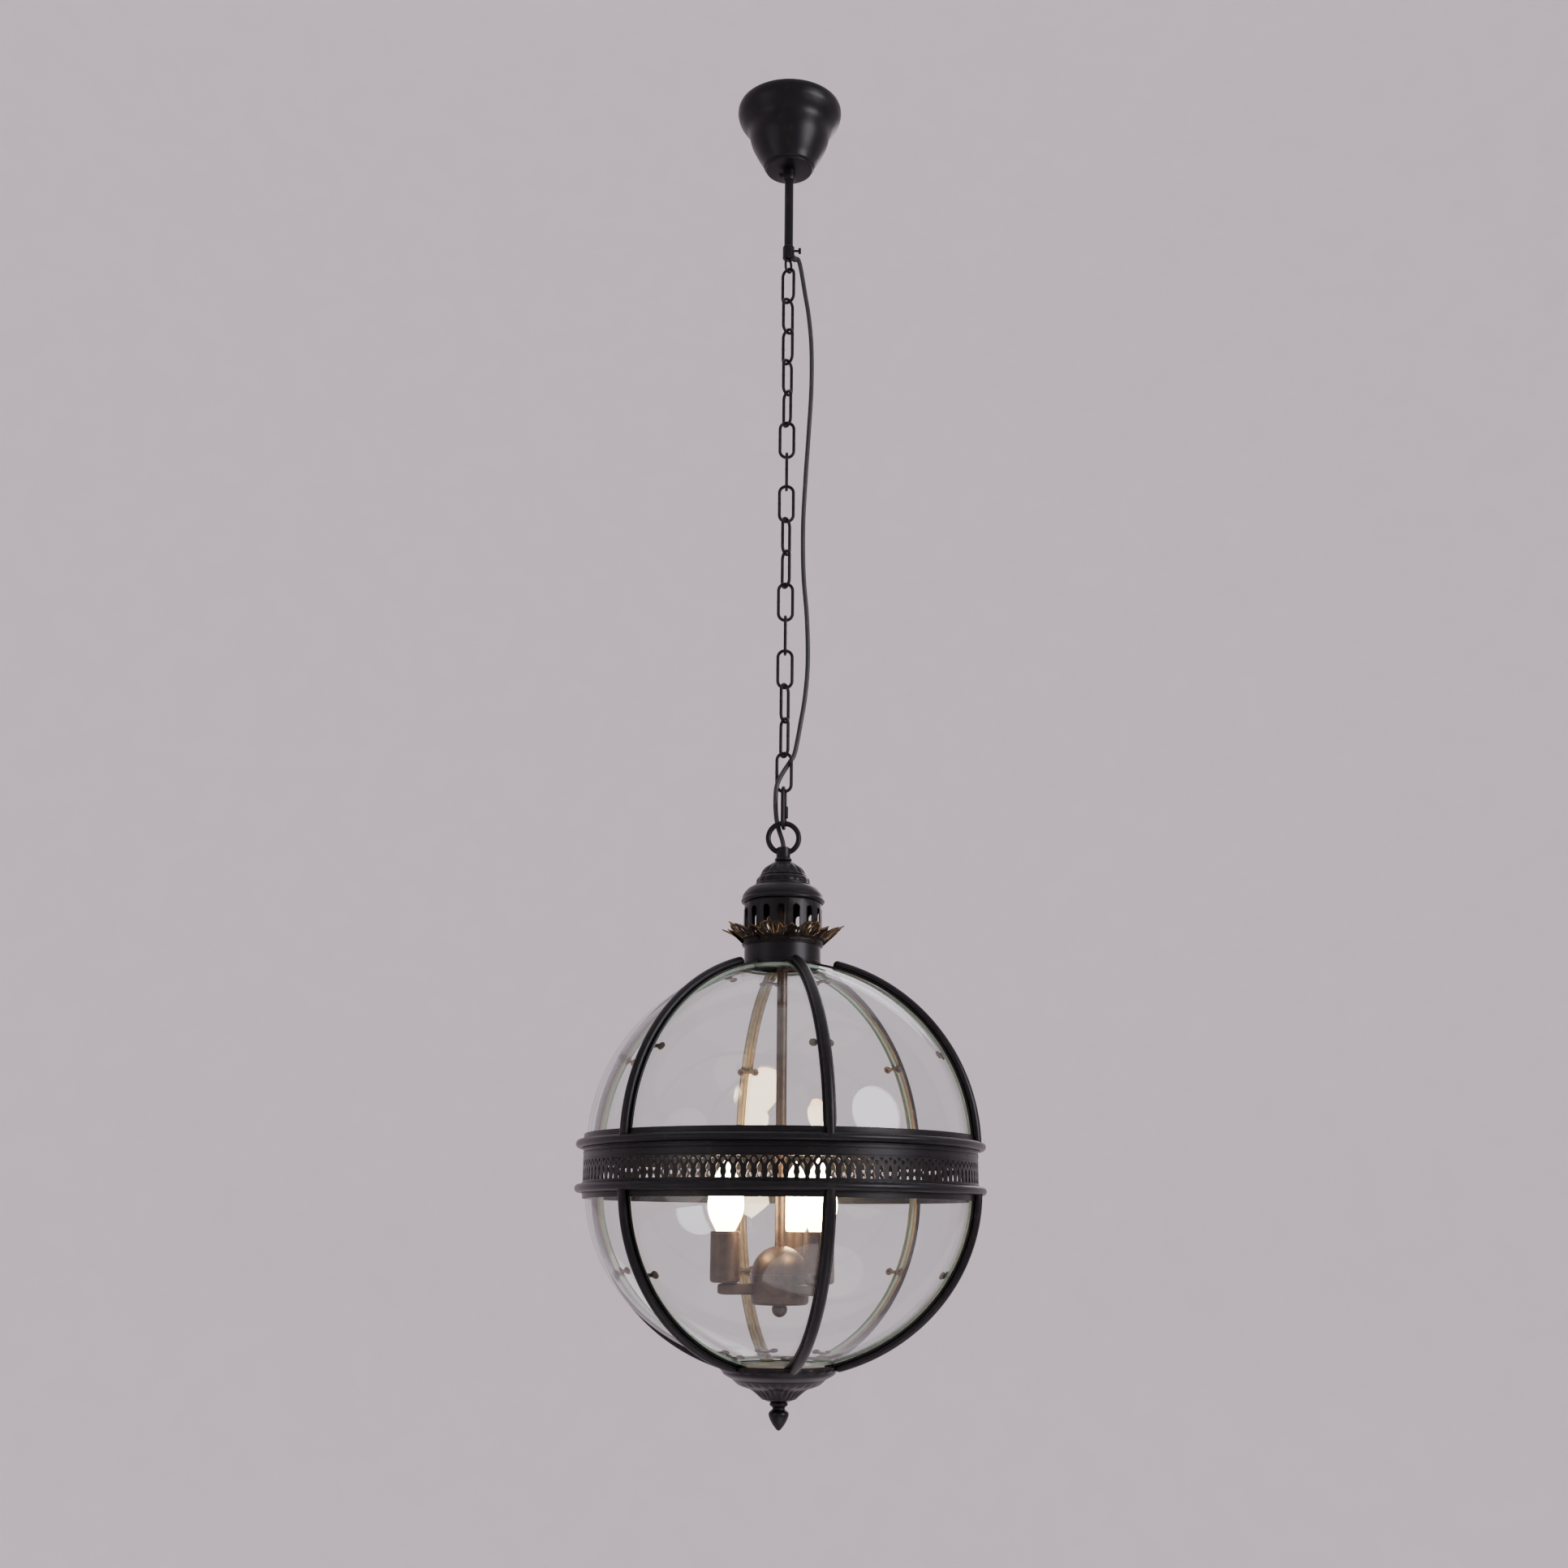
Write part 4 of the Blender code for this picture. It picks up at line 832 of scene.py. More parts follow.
class LANTERN_OT_cord(bpy.types.Operator):
    """The supply cord, one run for each joint that it hangs past, and its strain relief."""

    bl_idname = "lantern.cord"
    bl_label = "Supply Cord"

    def execute(self, context):
        line = smooth_line(cord_route(), 10)
        rings = wire_rings(line, CORD_R, 12)
        joints = swing_joints()
        heights = [joint["pos_m"][2] for joint in joints]
        cuts = [(a + b) / 2 for a, b in zip(heights, heights[1:])]
        bounds, start = [], 0
        for cut in cuts:
            end = next(k for k, p in enumerate(line) if p.z < cut)
            bounds.append((start, end))
            start = end
        bounds.append((start, len(line) - 1))

        relief = Shape()
        first = next(k for k, p in enumerate(line) if p.z < cord_bend(50).z) + 1
        along = line[first:first + 17]
        radii = []
        for k in range(len(along)):
            share = k / (len(along) - 1)
            radii.append(CORD_R + TOUCH + 0.0013 * (1 - share) + 0.0003 * (k % 3 == 0) * (1 - share))
        relief.tube(along, radii, 20)
        sleeve = place("cord_relief", relief, [cord_sheath], "fixture", "black_cord")

        for number, ((start, end), joint) in enumerate(zip(bounds, joints)):
            run = Shape().loft(rings[start:end + 1], False)
            piece = mesh_object(f"cord_run_{number + 1:02d}", run, [cord_sheath], 60)
            z = joint["pos_m"][2]
            z + 0.012
            z - 0.012
            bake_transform(piece)
            path = line[start:end + 1]
            length = sum((b - a).length for a, b in zip(path, path[1:]))
            [sleeve] if number == 0 else []
            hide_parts("supply_cord")
        return {"FINISHED"}


class LANTERN_OT_fixings(bpy.types.Operator):
    """Ceiling plate, stirrup and terminal block, which keep their shapes, with two domed rivet heads."""

    bl_idname = "lantern.fixings"
    bl_label = "Ceiling Fixings"

    def execute(self, context):
        for node in ("ceiling_plate", "stem_stirrup", "crown_nut"):
            refinish(node, zinc_steel)
        refinish("terminal_block", glazed_white)
        plate_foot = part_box("ceiling_plate")[0].z
        heads = Shape()
        for x in (-0.0195, 0.0195):
            dome = [(0, -0.0022), (0.0014, -0.0021), (0.0026, -0.0016), (0.0032, -0.0006), (0.0032, 0), (0, 0)]
            heads.lathe(dome, 24, plate_foot - 0.0023, centre=(x, 0.0))
        place("stirrup_rivets", heads, [zinc_steel], "fixture", "zinc_steel")
        return {"FINISHED"}


class LANTERN_OT_canopy(bpy.types.Operator):
    """The bell-shaped ceiling canopy, its collar and its set screw."""

    bl_idname = "lantern.canopy"
    bl_label = "Canopy"

    def execute(self, context):
        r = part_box("canopy")[1].x
        foot = CANOPY_FOOT
        outer = [(r - 0.0030, -0.0005), (r - 0.0010, -0.0016), (r - 0.0003, -0.0035), (r, -0.0080)]
        outer += smooth_line(
            [(r, -0.0080), (r - 0.0018, -0.0145), (r - 0.0058, -0.0210), (r - 0.0120, -0.0300),
             (0.0488 - 0.0055, -0.0450), (0.0364, -0.0600), (0.0308, -0.0700), (0.0287, -0.0750)], 4
        )
        outer += [(0.0284, -0.0757), (0.0274, -0.0762), (0.0268, -0.0768)]
        outer += arc(0.0248, foot + 0.0018, 0.0018, 30, -90, 5)
        wall = 0.0012
        hole = STEM_R + FIT
        inner = [(x - wall, min(y, -0.0005) + 0.0002) for x, y in outer[:-6:3]]
        profile = [tuple(p) for p in outer] + [(hole + 0.0004, foot), (hole, foot + 0.0004)]
        profile += [(hole, foot + wall), (0.0236, foot + wall)] + inner[::-1]
        place("canopy_bell", Shape().lathe(profile, 128), [black_iron], "canopy", "black_iron", ["canopy"])

        top = foot - FIT
        wall = STEM_R + 0.0018
        profile = [(hole, 0), (wall - 0.0003, 0), (wall, -0.0004), (wall, -0.0098), (wall - 0.0006, -0.0118)]
        profile += [(wall - 0.0011, -0.0125), (hole, -0.0125)]
        band = Shape().lathe(profile, 48, top)
        for z in (-0.0016, -0.0088):
            band.tube([polar(wall, 360 * k / 48, top + z) for k in range(48)], 0.00028, 8, True, Vector((0, 0, 1)))
        place("stem_collar", band, [black_iron], "canopy", "black_iron", ["canopy_collar"])
        knurled("set_screw", "canopy_set_screw", "canopy_set_screw", -1, 0.0022, 0.0040)
        return {"FINISHED"}


def knurled(name, body, node, way, head_r, head_h):
    """A thumbscrew along X with a knurled head, in the place of its solid."""
    low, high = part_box(node)
    z = (low.z + high.z) / 2
    tip, end = (high.x, low.x) if way < 0 else (low.x, high.x)
    teeth = 18
    outline = []
    for k in range(2 * teeth):
        turn = math.pi * k / teeth
        reach = head_r - (0.00022 if k % 2 else 0.0)
        outline.append((reach * math.cos(turn), reach * math.sin(turn)))
    turned = Matrix.Rotation(math.pi / 2, 4, "Y")
    head = Shape().prism(outline, head_h, Matrix.Translation((end - way * head_h / 2, 0, z)) @ turned, taper=0.0003)
    neck = [(tip, 0, z), (tip + way * 0.0003, 0, z), (end - way * head_h, 0, z), (end - way * head_h / 2, 0, z)]
    head.tube(neck, [0.0011, 0.0014, 0.0014, 0.0014], 16)
    place(name, head, [worn_link], body, "black_iron", [node], crease=25)


class LANTERN_OT_stem(bpy.types.Operator):
    """The stem tube, its coupler with an eye, and the coupler's thumbscrew."""

    bl_idname = "lantern.stem"
    bl_label = "Stem"

    def execute(self, context):
        low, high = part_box("stem_tube")
        outer, inner = STEM_R, 0.004
        profile = [(inner, high.z), (outer - 0.0002, high.z), (outer, high.z - 0.0002), (outer, low.z)]
        tube = Shape().lathe(profile + [(inner, low.z)], 40)
        nut_z = high.z - 0.0058 + 0.00225
        ring = arc(0, 0, 0.0085, 0, 300, 5)
        tube.prism(ring, 0.0045, Matrix.Translation((0, 0, nut_z)), taper=0.0005)
        place("stem_pipe", tube, [black_iron], "fixture", "black_iron", ["stem_tube"])

        bore, height = STEM_R + FIT, 0.015
        profile = [(bore, 0), (COUPLER_R - 0.0004, 0), (COUPLER_R, -0.0004), (COUPLER_R, -0.0018)]
        profile += [(COUPLER_R - 0.0004, -0.0022), (COUPLER_R - 0.0004, -0.0027), (COUPLER_R, -0.0031)]
        profile += [(COUPLER_R, -height + 0.0012), (COUPLER_R - 0.0012, -height), (0, -height)]
        profile += [(0, -height + 0.002), (bore, -height + 0.002)]
        sleeve = Shape().lathe(profile, 48, COUPLER_TOP)
        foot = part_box("stem_coupler")[0].z
        middle = foot + EYE_LENGTH / 2
        turn = math.radians(EYE_TURN)
        along = Vector((math.cos(turn), math.sin(turn), 0))
        line = stadium(EYE_LENGTH - EYE_WIRE, EYE_WIDTH - EYE_WIRE, 14, 4)
        path = [along * u + Vector((0, 0, middle + v)) for u, v in line]
        sleeve.tube(path, EYE_WIRE / 2, 16, True, Vector((-along.y, along.x, 0)))
        place("coupler_eye", sleeve, [black_iron], "fixture", "black_iron", ["stem_coupler"])
        knurled("thumb_screw", "coupler_thumbscrew", "coupler_thumbscrew", 1, 0.0035, 0.0030)
        return {"FINISHED"}


def wire_link(name, node, body, width, wire, turn, weld=0.0):
    """A closed wire link in the place of its solid. weld is how far its butt weld stands proud."""
    low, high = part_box(node)
    middle, length = (low.z + high.z) / 2, high.z - low.z
    angle = math.radians(turn)
    along = Vector((math.cos(angle), math.sin(angle), 0))
    line = stadium(length - wire, width - wire, 16, 16)
    path = [along * u + Vector((0, 0, middle + v)) for u, v in line]
    radii = []
    for u, v in line:
        swell = weld * math.exp(-((v / 0.0011) ** 2)) if u < 0 else 0.0
        radii.append(wire / 2 + swell)
    shape = Shape().tube(path, radii, 16, True, Vector((-along.y, along.x, 0)))
    return place(name, shape, [worn_link], body, "black_iron", [node], crease=60)


class LANTERN_OT_chain(bpy.types.Operator):
    """The chain's welded links, and the quick link with its sleeve nut."""

    bl_idname = "lantern.chain"
    bl_label = "Chain"

    def execute(self, context):
        for number, turn in enumerate(LINK_TURNS):
            node = f"chain_link_{number + 1:02d}"
            wire_link(f"welded_link_{number + 1:02d}", node, node, LINK_WIDTH, LINK_WIRE, turn, 0.00016)
        wire_link("quick_link_wire", "quick_link", "quick_link", QUICK_WIDTH, QUICK_WIRE, QUICK_TURN)
        low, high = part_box("quick_link_nut")
        centre, height = (low + high) / 2, high.z - low.z
        outline = arc(0, 0, QUICK_NUT_R, 0, 300, 5)
        nut = Shape().prism(outline, height, Matrix.Translation(centre), taper=0.0006)
        place("sleeve_nut", nut, [worn_link], "quick_link_nut", "black_iron", ["quick_link_nut"], crease=20)
        return {"FINISHED"}


class LANTERN_OT_loop(bpy.types.Operator):
    """The hanging loop on its turned neck, and its hollow shank."""

    bl_idname = "lantern.loop"
    bl_label = "Hanging Loop"

    def execute(self, context):
        path = [Vector((x, 0, LOOP_Z + z)) for x, z in arc(0, 0, LOOP_R - LOOP_WIRE / 2, 0, 355, 71)]
        loop = Shape().tube(path, LOOP_WIRE / 2, 20, True, Vector((0, 1, 0)))
        bore = CORD_R + 0.0006
        foot = NECK_FOOT - FLANGE_H
        profile = [(bore, NECK_TOP + 0.0006), (NECK_R - 0.0012, NECK_TOP + 0.0006), (NECK_R, NECK_TOP - 0.0006)]
        profile += [(NECK_R, NECK_FOOT + 0.0008), (NECK_R + 0.0002, NECK_FOOT)]
        profile += arc(FLANGE_R - FLANGE_H / 2, NECK_FOOT - FLANGE_H / 2, FLANGE_H / 2, 80, -80, 10)
        profile += [(ROD_TUBE_R, foot), (ROD_TUBE_R, SHANK_FOOT), (bore, SHANK_FOOT)]
        loop.lathe(profile, 48)
        place("loop_and_neck", loop, [black_iron], "lantern", "black_iron", ["hanging_loop"])
        return {"FINISHED"}


class LANTERN_OT_crown(bpy.types.Operator):
    """The fluted crown over the vent."""

    bl_idname = "lantern.crown"
    bl_label = "Crown"

    def execute(self, context):
        flutes = context.scene.lantern_sizes.crown_flutes
        dome = smooth_line([(0.0093, 0, 0), (0.0128, -0.0022, 0.0002), (0.0178, -0.0055, 0.0012),
                            (0.0207, -0.0085, 0.0018), (0.0226, -0.0118, 0.0016), (0.0233, -0.0136, 0.0006)], 4)
        step = [(0.0236, -0.0140, 0), (0.0240, -0.0148, 0), (0.0236, -0.0154, 0)]
        bell = smooth_line([(0.0240, -0.0158, 0), (0.0262, -0.0172, 0.0003), (0.0276, -0.0202, 0.0008),
                            (0.0279, -0.0232, 0.0006)], 3)
        lip = [(0.0284, -0.0238, 0), (0.0292, -0.0243, 0), (0.0292, -0.0250, 0)]
        brim = smooth_line([(0.0302, -0.0256, 0), (0.0342, -0.0274, 0), (0.0372, -0.0298, 0),
                            (0.0400, -0.0335, 0), (0.0414, -0.0365, 0)], 3)
        roll = [(r, z, 0) for r, z in arc(0.0402, -0.0408, 0.0023, 55, -115, 9)]
        outline = dome + [Vector(p) for p in step] + bell + [Vector(p) for p in lip] + brim
        outline += [Vector(p) for p in roll]
        inner = [Vector((p.x - CROWN_WALL - 0.0004, p.y - 0.0009, 0)) for p in outline[4:-10:3]]
        inner.append(Vector((0.0382, -0.0400, 0)))
        roof = [Vector((0.0126 - 0.0015, -0.0052, 0)), Vector((ROD_TUBE_R + FIT, -0.0018, 0))]
        profile = [Vector((ROD_TUBE_R + FIT, 0, 0))] + outline + inner[::-1] + roof
        crown = Shape().lathe(profile, flutes * 12, CROWN_TOP, lobes=flutes)
        place("fluted_crown", crown, [black_iron], "lantern", "black_iron", ["crown_dome"], crease=50)
        return {"FINISHED"}


class LANTERN_OT_vent(bpy.types.Operator):
    """The vent wall with its arched slots and a fine moulding round each."""

    bl_idname = "lantern.vent"
    bl_label = "Vent"

    def execute(self, context):
        top, foot = CROWN_FOOT + 0.0022, COLLAR_TOP + FIT
        span = 2 * math.pi * VENT_R / VENT_SLOTS
        slot_top, slot_foot = CROWN_FOOT - 0.0060, COLLAR_TOP + 0.0080
        half = VENT_SLOT_W / 2
        arch = [(x / span + 0.5, z) for x, z in arc(0, slot_top - half, half, 0, 180, 12)]
        slot = arch + [(0.5 - half / span, slot_foot), (0.5 + half / span, slot_foot)]
        outline = [(0, foot), (1, foot), (1, top), (0, top)]
        grid = [(u, z) for u in between(0, 1, 8)[1:-1] for z in between(foot, top, 6)]
        grid += [(u, z) for u in (0.0, 1.0) for z in between(foot, top, 6)[1:-1]]

        def wrap(share, z):
            azimuth = -2.5 + 360 * (share - 0.5 / VENT_SLOTS)
            return polar(VENT_R, azimuth, z), polar(VENT_R - VENT_WALL, azimuth, z)

        wall = pierced(Shape(), outline, [slot], grid, VENT_SLOTS, wrap)
        for k in range(VENT_SLOTS):
            rim = [wrap((k + u) / VENT_SLOTS, z)[0] for u, z in edge_points(slot, 0.004)]
            wall.tube(rim, 0.00042, 6, True)
        for z in (foot + 0.0012, slot_foot - 0.0022):
            wall.tube([polar(VENT_R, 360 * k / 96, z) for k in range(96)], 0.0005, 8, True, Vector((0, 0, 1)))
        place("vent_wall", wall, [black_iron], "lantern", "black_iron", ["vent_gallery"])
        return {"FINISHED"}


def edge_points(outline, longest):
    """A closed outline with its long straight stretches cut into shorter ones."""
    line = []
    for (x1, y1), (x2, y2) in zip(outline, outline[1:] + outline[:1]):
        steps = max(1, math.ceil(abs(y2 - y1) / longest))
        line += [(x1 + (x2 - x1) * k / steps, y1 + (y2 - y1) * k / steps) for k in range(steps)]
    return line


def almond(u, low, high, width, steps=6):
    """A pointed oval hole, standing."""
    line = []
    for way in (1, -1):
        for k in range(steps):
            t = k / steps if way > 0 else 1 - k / steps
            line.append((u + way * width * math.sin(math.pi * t) ** 0.8, low + (high - low) * t))
    return line


class LANTERN_OT_coronet(bpy.types.Operator):
    """The flared ring of pierced leaves, with rubbed edges and a row of beads."""

    bl_idname = "lantern.coronet"
    bl_label = "Coronet"

    def execute(self, context):
        foot, leaves, steps = COLLAR_TOP + FIT, 8, 40
        rows = [(0.0401, 0.0), (0.0404, 0.0045), (0.0450, 0.0085), (0.0535, 0.0135), (0.0634, 0.0187)]
        flare = smooth_line(rows, 12)
        last = len(flare) - 1

        def wrap(share, v):
            """Both faces' points: share is once round, and v runs up the flare from 0 to 1."""
            azimuth = -13.0 + 360 * (share - 0.5 / leaves)
            at = min(max(v, 0.0), 1.0) * last
            low = min(int(at), last - 1)
            r, z = flare[low].lerp(flare[low + 1], at - low)
            slope = (flare[low + 1] - flare[low]).normalized()
            ends = [(r - slope.y * t, z + slope.x * t) for t in (-0.0004, 0.0004)]
            return tuple(polar(r, azimuth, foot + z) for r, z in ends)

        def top(u):
            """How far up the flare the leaves reach, across one tile."""
            away = abs(u - 0.5) * 45.0
            scallop = 0.035 * abs(math.cos(away * 0.62))
            if away < 14.0:
                return 0.87 - 0.25 * (away / 14.0) ** 3 + 0.095 * math.exp(-((away / 1.5) ** 2)) + scallop
            return 0.76 - 0.14 * ((22.5 - away) / 8.5) ** 2 + 0.06 * math.exp(-(((22.5 - away) / 1.3) ** 2))

        crest = [(u, top(u)) for u in between(1, 0, steps)]
        outline = [(0, 0), (1, 0)] + crest
        degree = 1 / 45.0
        holes = [almond(0.5, 0.62, 0.86, 1.3 * degree), almond(0.5, 0.39, 0.57, 1.2 * degree)]
        for way in (-1, 1):
            holes.append(almond(0.5 + way * 3.9 * degree, 0.42, 0.80, 1.2 * degree))
            holes.append(almond(0.5 + way * 7.4 * degree, 0.58, 0.79, 1.1 * degree))
            holes.append(almond(0.5 + way * 7.0 * degree, 0.38, 0.53, 0.9 * degree))
            holes.append(almond(0.5 + way * 10.6 * degree, 0.40, 0.68, 1.1 * degree))
            holes.append(almond(0.5 + way * 15.0 * degree, 0.38, 0.56, 1.2 * degree))
            holes.append(almond(0.5 + way * 19.4 * degree, 0.38, 0.66, 1.2 * degree))
        grid = [(u, v) for u in between(0, 1, 20)[1:-1] for v in (0.07, 0.14, 0.21, 0.28, 0.45, 0.6, 0.75)]
        grid += [(u, v) for u in (0.0, 1.0) for v in (0.07, 0.14, 0.21, 0.28, 0.45, 0.6)]
        ring = pierced(Shape(), outline, holes, grid, leaves, wrap)

        def raised(tile, points, radius):
            path = [wrap((tile + u) / leaves, v)[0] for u, v in points]
            ring.tube(path, radius, 6, False, kind=1)

        for tile in range(leaves):
            raised(tile, [(u, v - 0.014) for u, v in crest], 0.00048)
            for way in (-1, 1):
                for start, lean, rise in ((0.6, 1.6, 0.50), (3.4, 5.2, 0.44), (13.6, 3.6, 0.28)):
                    path = []
                    for s in between(0, 1, 8):
                        curl = lean * math.sin(s * math.pi / 2)
                        path.append((0.5 + way * (start + curl) * degree, 0.33 + rise * s))
                    raised(tile, path, 0.00045)
        radius = context.scene.lantern_sizes.bead
        for k in range(96):
            centre = sum(wrap(k / 96, 0.30), Vector()) / 2
            ring.ball(centre + polar(0.0004, -13 + 360 * k / 96, 0), radius)
        for v, wire in ((0.21, 0.0006), (0.03, 0.0007)):
            ring.tube([wrap(k / 96, v)[0] for k in range(96)], wire, 8, True)
        nodes = ["coronet"]
        place("leaf_coronet", ring, [leaf_dark, rubbed_gold], "lantern", "dark_bronze", nodes, crease=45)
        return {"FINISHED"}


def reach_of(upper):
    return ROD_TOP_R if upper else ROD_FOOT_R


def rib(shape, azimuth, upper):
    """One rib: a flat bar outside the glass with a round rod on it, and a strip on the bar's inner face with painted
    bulb light.
    """
    belt = angle_at_level(0.0222, upper)
    pole = angle_at_radius(BAR_R, COLLAR_R - 0.0020 if upper else 0.0470)
    section = rounded(BAR_W, BAR_T, 0.0005, 2)
    rings, painted_light_backs = [], []
    for angle in between(pole, belt, 44):
        centre, side, out = globe_point(angle, azimuth, upper)
        near_belt = min(1.0, (belt - angle) / 0.085)
        width = 0.62 + 0.38 * math.sin(near_belt * math.pi / 2)
        rings.append([centre + side * u * width + out * (v - BAR_T / 2) for u, v in section])
        for way in (-1, 1):
            painted_light_backs.append(centre + side * way * (BAR_W / 2 - 0.0007) * width - out * (BAR_T + 0.00006))
    shape.loft(rings, False)
    # A strip on the bar's inner face in the lighter golden bronze, which paints the bulbs' warm light falling on this
    # side.
    shape.add(painted_light_backs, [(2 * k, 2 * k + 1, 2 * k + 3, 2 * k + 2) for k in range(44)], 1)
    start = angle_at_radius(BAR_R, reach_of(upper))
    path, radii = [], []
    for k, angle in enumerate(between(start, belt, 44)):
        centre, _, out = globe_point(angle, azimuth, upper)
        middle = centre + out * ROD_RISE
        if k == 0:
            ahead = globe_point(angle + 0.02, azimuth, upper)[0] - centre
            for turn in (4, 20, 36, 52, 70):
                pull = math.radians(turn)
                path.append(middle - ahead.normalized() * ROD_R * math.cos(pull) * 0.9)
                radii.append(ROD_R * math.sin(pull))
        path.append(middle)
        radii.append(ROD_R)
    shape.tube(path, radii, 20)


def clip(shape, angle, azimuth, upper):
    """A bar with a round pad and a screw at each end, inside the glass."""
    centre, side, out = globe_point(angle, azimuth, upper)
    along = out.cross(side)
    under = BAR_T + GLASS_T + 3 * FIT
    half = CLIP_SPACING / 2
    for way in (-1, 1):
        lean = Matrix.Rotation(way * math.atan(CLIP_LEAN), 3, along)
        across, face = lean @ side, lean @ out
        place_pad = Matrix((across, along, face)).transposed().to_4x4()
        middle = centre + side * way * half - out * (under + CLIP_T / 2 + half * CLIP_LEAN)
        place_pad.translation = middle
        shape.prism(arc(0, 0, CLIP_LOBE_R, 0, 345, 23), CLIP_T, place_pad, taper=0.0003)
        neck = place_pad.copy()
        neck.translation = middle - across * way * half / 2
        shape.prism(rounded(half + 0.001, 0.0032, 0.0004, 1), CLIP_T * 0.9, neck)
        head = place_pad.copy()
        head.translation = middle - face * (CLIP_T / 2 + 0.0003)
        shape.prism(arc(0, 0, 0.0019, 0, 330, 11), 0.0008, head, 1, 0.0003)


class LANTERN_OT_ribs(bpy.types.Operator):
    """The cage's ribs and the clips that hold the glass."""

    bl_idname = "lantern.ribs"
    bl_label = "Ribs and Clips"

    def execute(self, context):
        for upper, half in ((True, "upper"), (False, "lower")):
            for k in range(RIBS):
                shape, azimuth = Shape(), RIB_TURN + 360 * k / RIBS
                rib(shape, azimuth, upper)
                name = f"rib_{half}_{k + 1}"
                # Outer faces black iron; the inner strip is bronze painted with the bulbs' warm light.
                place(name, shape, [black_iron, bronze_with_painted_bulb_light], "lantern", "black_iron", [f"{half}_frame"])
                clips = Shape()
                start, end = angle_at_radius(BAR_R, reach_of(upper)), angle_at_level(0.0222, upper)
                for share in (0.0, 0.6):
                    clip(clips, start + (end - start) * share, azimuth, upper)
                name = f"clips_{half}_{k + 1}"
                place(name, clips, [dark_bronze, worn_link], "lantern", "black_iron", [f"{half}_frame"])
        return {"FINISHED"}


def belt_outline(wall_end, lip_end):
    """A belt ring's section: a band with a bead between two fine steps, a ledge and an inner lip."""
    wall, inner, bead = BELT_R, BELT_R - BELT_WALL, BEAD_OFFSET
    line = [(wall, wall_end), (wall, bead - 0.0056), (wall + 0.0009, bead - 0.0053), (wall + 0.0009, bead - 0.0043)]
    line += [(wall + 0.0003, bead - 0.0040)]
    line += arc(wall + 0.0037, bead, BEAD_R, -145, 145, 18)
    line += [(wall + 0.0003, bead + 0.0040), (wall + 0.0009, bead + 0.0043), (wall + 0.0009, bead + 0.0052)]
    line += [(wall, bead + 0.0055), (wall, BELT_HALF_H - 0.0004), (wall - 0.0004, BELT_HALF_H)]
    line += [(inner, BELT_HALF_H), (inner, 0.0215), (inner - 0.0076, 0.0215), (inner - 0.0076, BELT_EDGE)]
    return line + [(inner - 0.0012, BELT_EDGE), (inner - 0.0012, lip_end), (inner - 0.0005, lip_end),
                   (inner - 0.0005, wall_end)]


class LANTERN_OT_belt(bpy.types.Operator):
    """The belt's two beaded rings, their screws and the pierced strip between them."""

    bl_idname = "lantern.belt"
    bl_label = "Belt"

    def execute(self, context):
        halves = (("upper", 1, GALLERY_TOP + FIT, 0.0080), ("lower", -1, -GALLERY_FOOT + FIT, 0.0145))
        for half, way, wall_end, lip_end in halves:
            outline = [(r, way * z) for r, z in belt_outline(wall_end, lip_end)]
            ring = Shape().lathe(outline, 240, BELT_Z)
            node = [f"{half}_frame"]
            place(f"belt_ring_{half}", ring, [black_iron], "lantern", "black_iron", node, crease=30)
        screws = Shape()
        for k in range(RIBS):
            for turn in (-7.5, 7.5):
                azimuth = RIB_TURN + 60 * k + turn
                spot = polar(BELT_R - 0.0005, azimuth, BELT_Z + 0.0108)
                screws.prism(arc(0, 0, 0.0016, 0, 330, 11), 0.0016, upright(spot, azimuth), 0, 0.0004)
        place("belt_screws", screws, [worn_link], "lantern", "black_iron", ["upper_frame"])

        bays = context.scene.lantern_sizes.strip_bays
        span = 2 * math.pi * BELT_R / bays
        mm = 0.001
        lancet = [(0.0, -1.2), (0.9, -2.2), (1.8, -3.9), (2.15, -5.8), (1.9, -7.6), (1.5, -9.0), (1.9, -10.8)]
        lancet += [(2.5, -12.2), (2.55, -14.0), (0.0, -14.0)]
        spandrel = [(0.0, 4.7), (2.5, 4.7), (1.5, 2.9), (0.0, 1.0)]
        kite = [(0.0, 3.1), (1.9, 2.0), (1.5, -0.3), (0.0, -2.3), (-1.5, -0.3), (-1.9, 2.0)]
        holes = [[(0.5 + x * mm / span, z * mm) for x, z in kite]]
        for half_hole in (lancet, spandrel):
            holes.append([(x * mm / span, z * mm) for x, z in half_hole])
            holes.append([(1 - x * mm / span, z * mm) for x, z in half_hole])
        outline = [(0, GALLERY_FOOT), (1, GALLERY_FOOT), (1, GALLERY_TOP), (0, GALLERY_TOP)]
        grid = [(0.5, z * mm) for z in (9.0, -6.0, -10.0)]

        def wrap(share, z):
            return polar(BELT_R, 360 * share, BELT_Z + z), polar(BELT_R - 0.0010, 360 * share, BELT_Z + z)

        strip = pierced(Shape(), outline, holes, grid, bays, wrap)
        for z, wire in ((0.0062, 0.0004), (-0.0152, 0.0004), (0.0122, 0.0005)):
            path = [polar(BELT_R, 360 * k / 240, BELT_Z + z) for k in range(240)]
            strip.tube(path, wire, 6, True, Vector((0, 0, 1)))
        place("pierced_strip", strip, [black_iron], "lantern", "black_iron", ["gallery_strip"], crease=30)
        return {"FINISHED"}


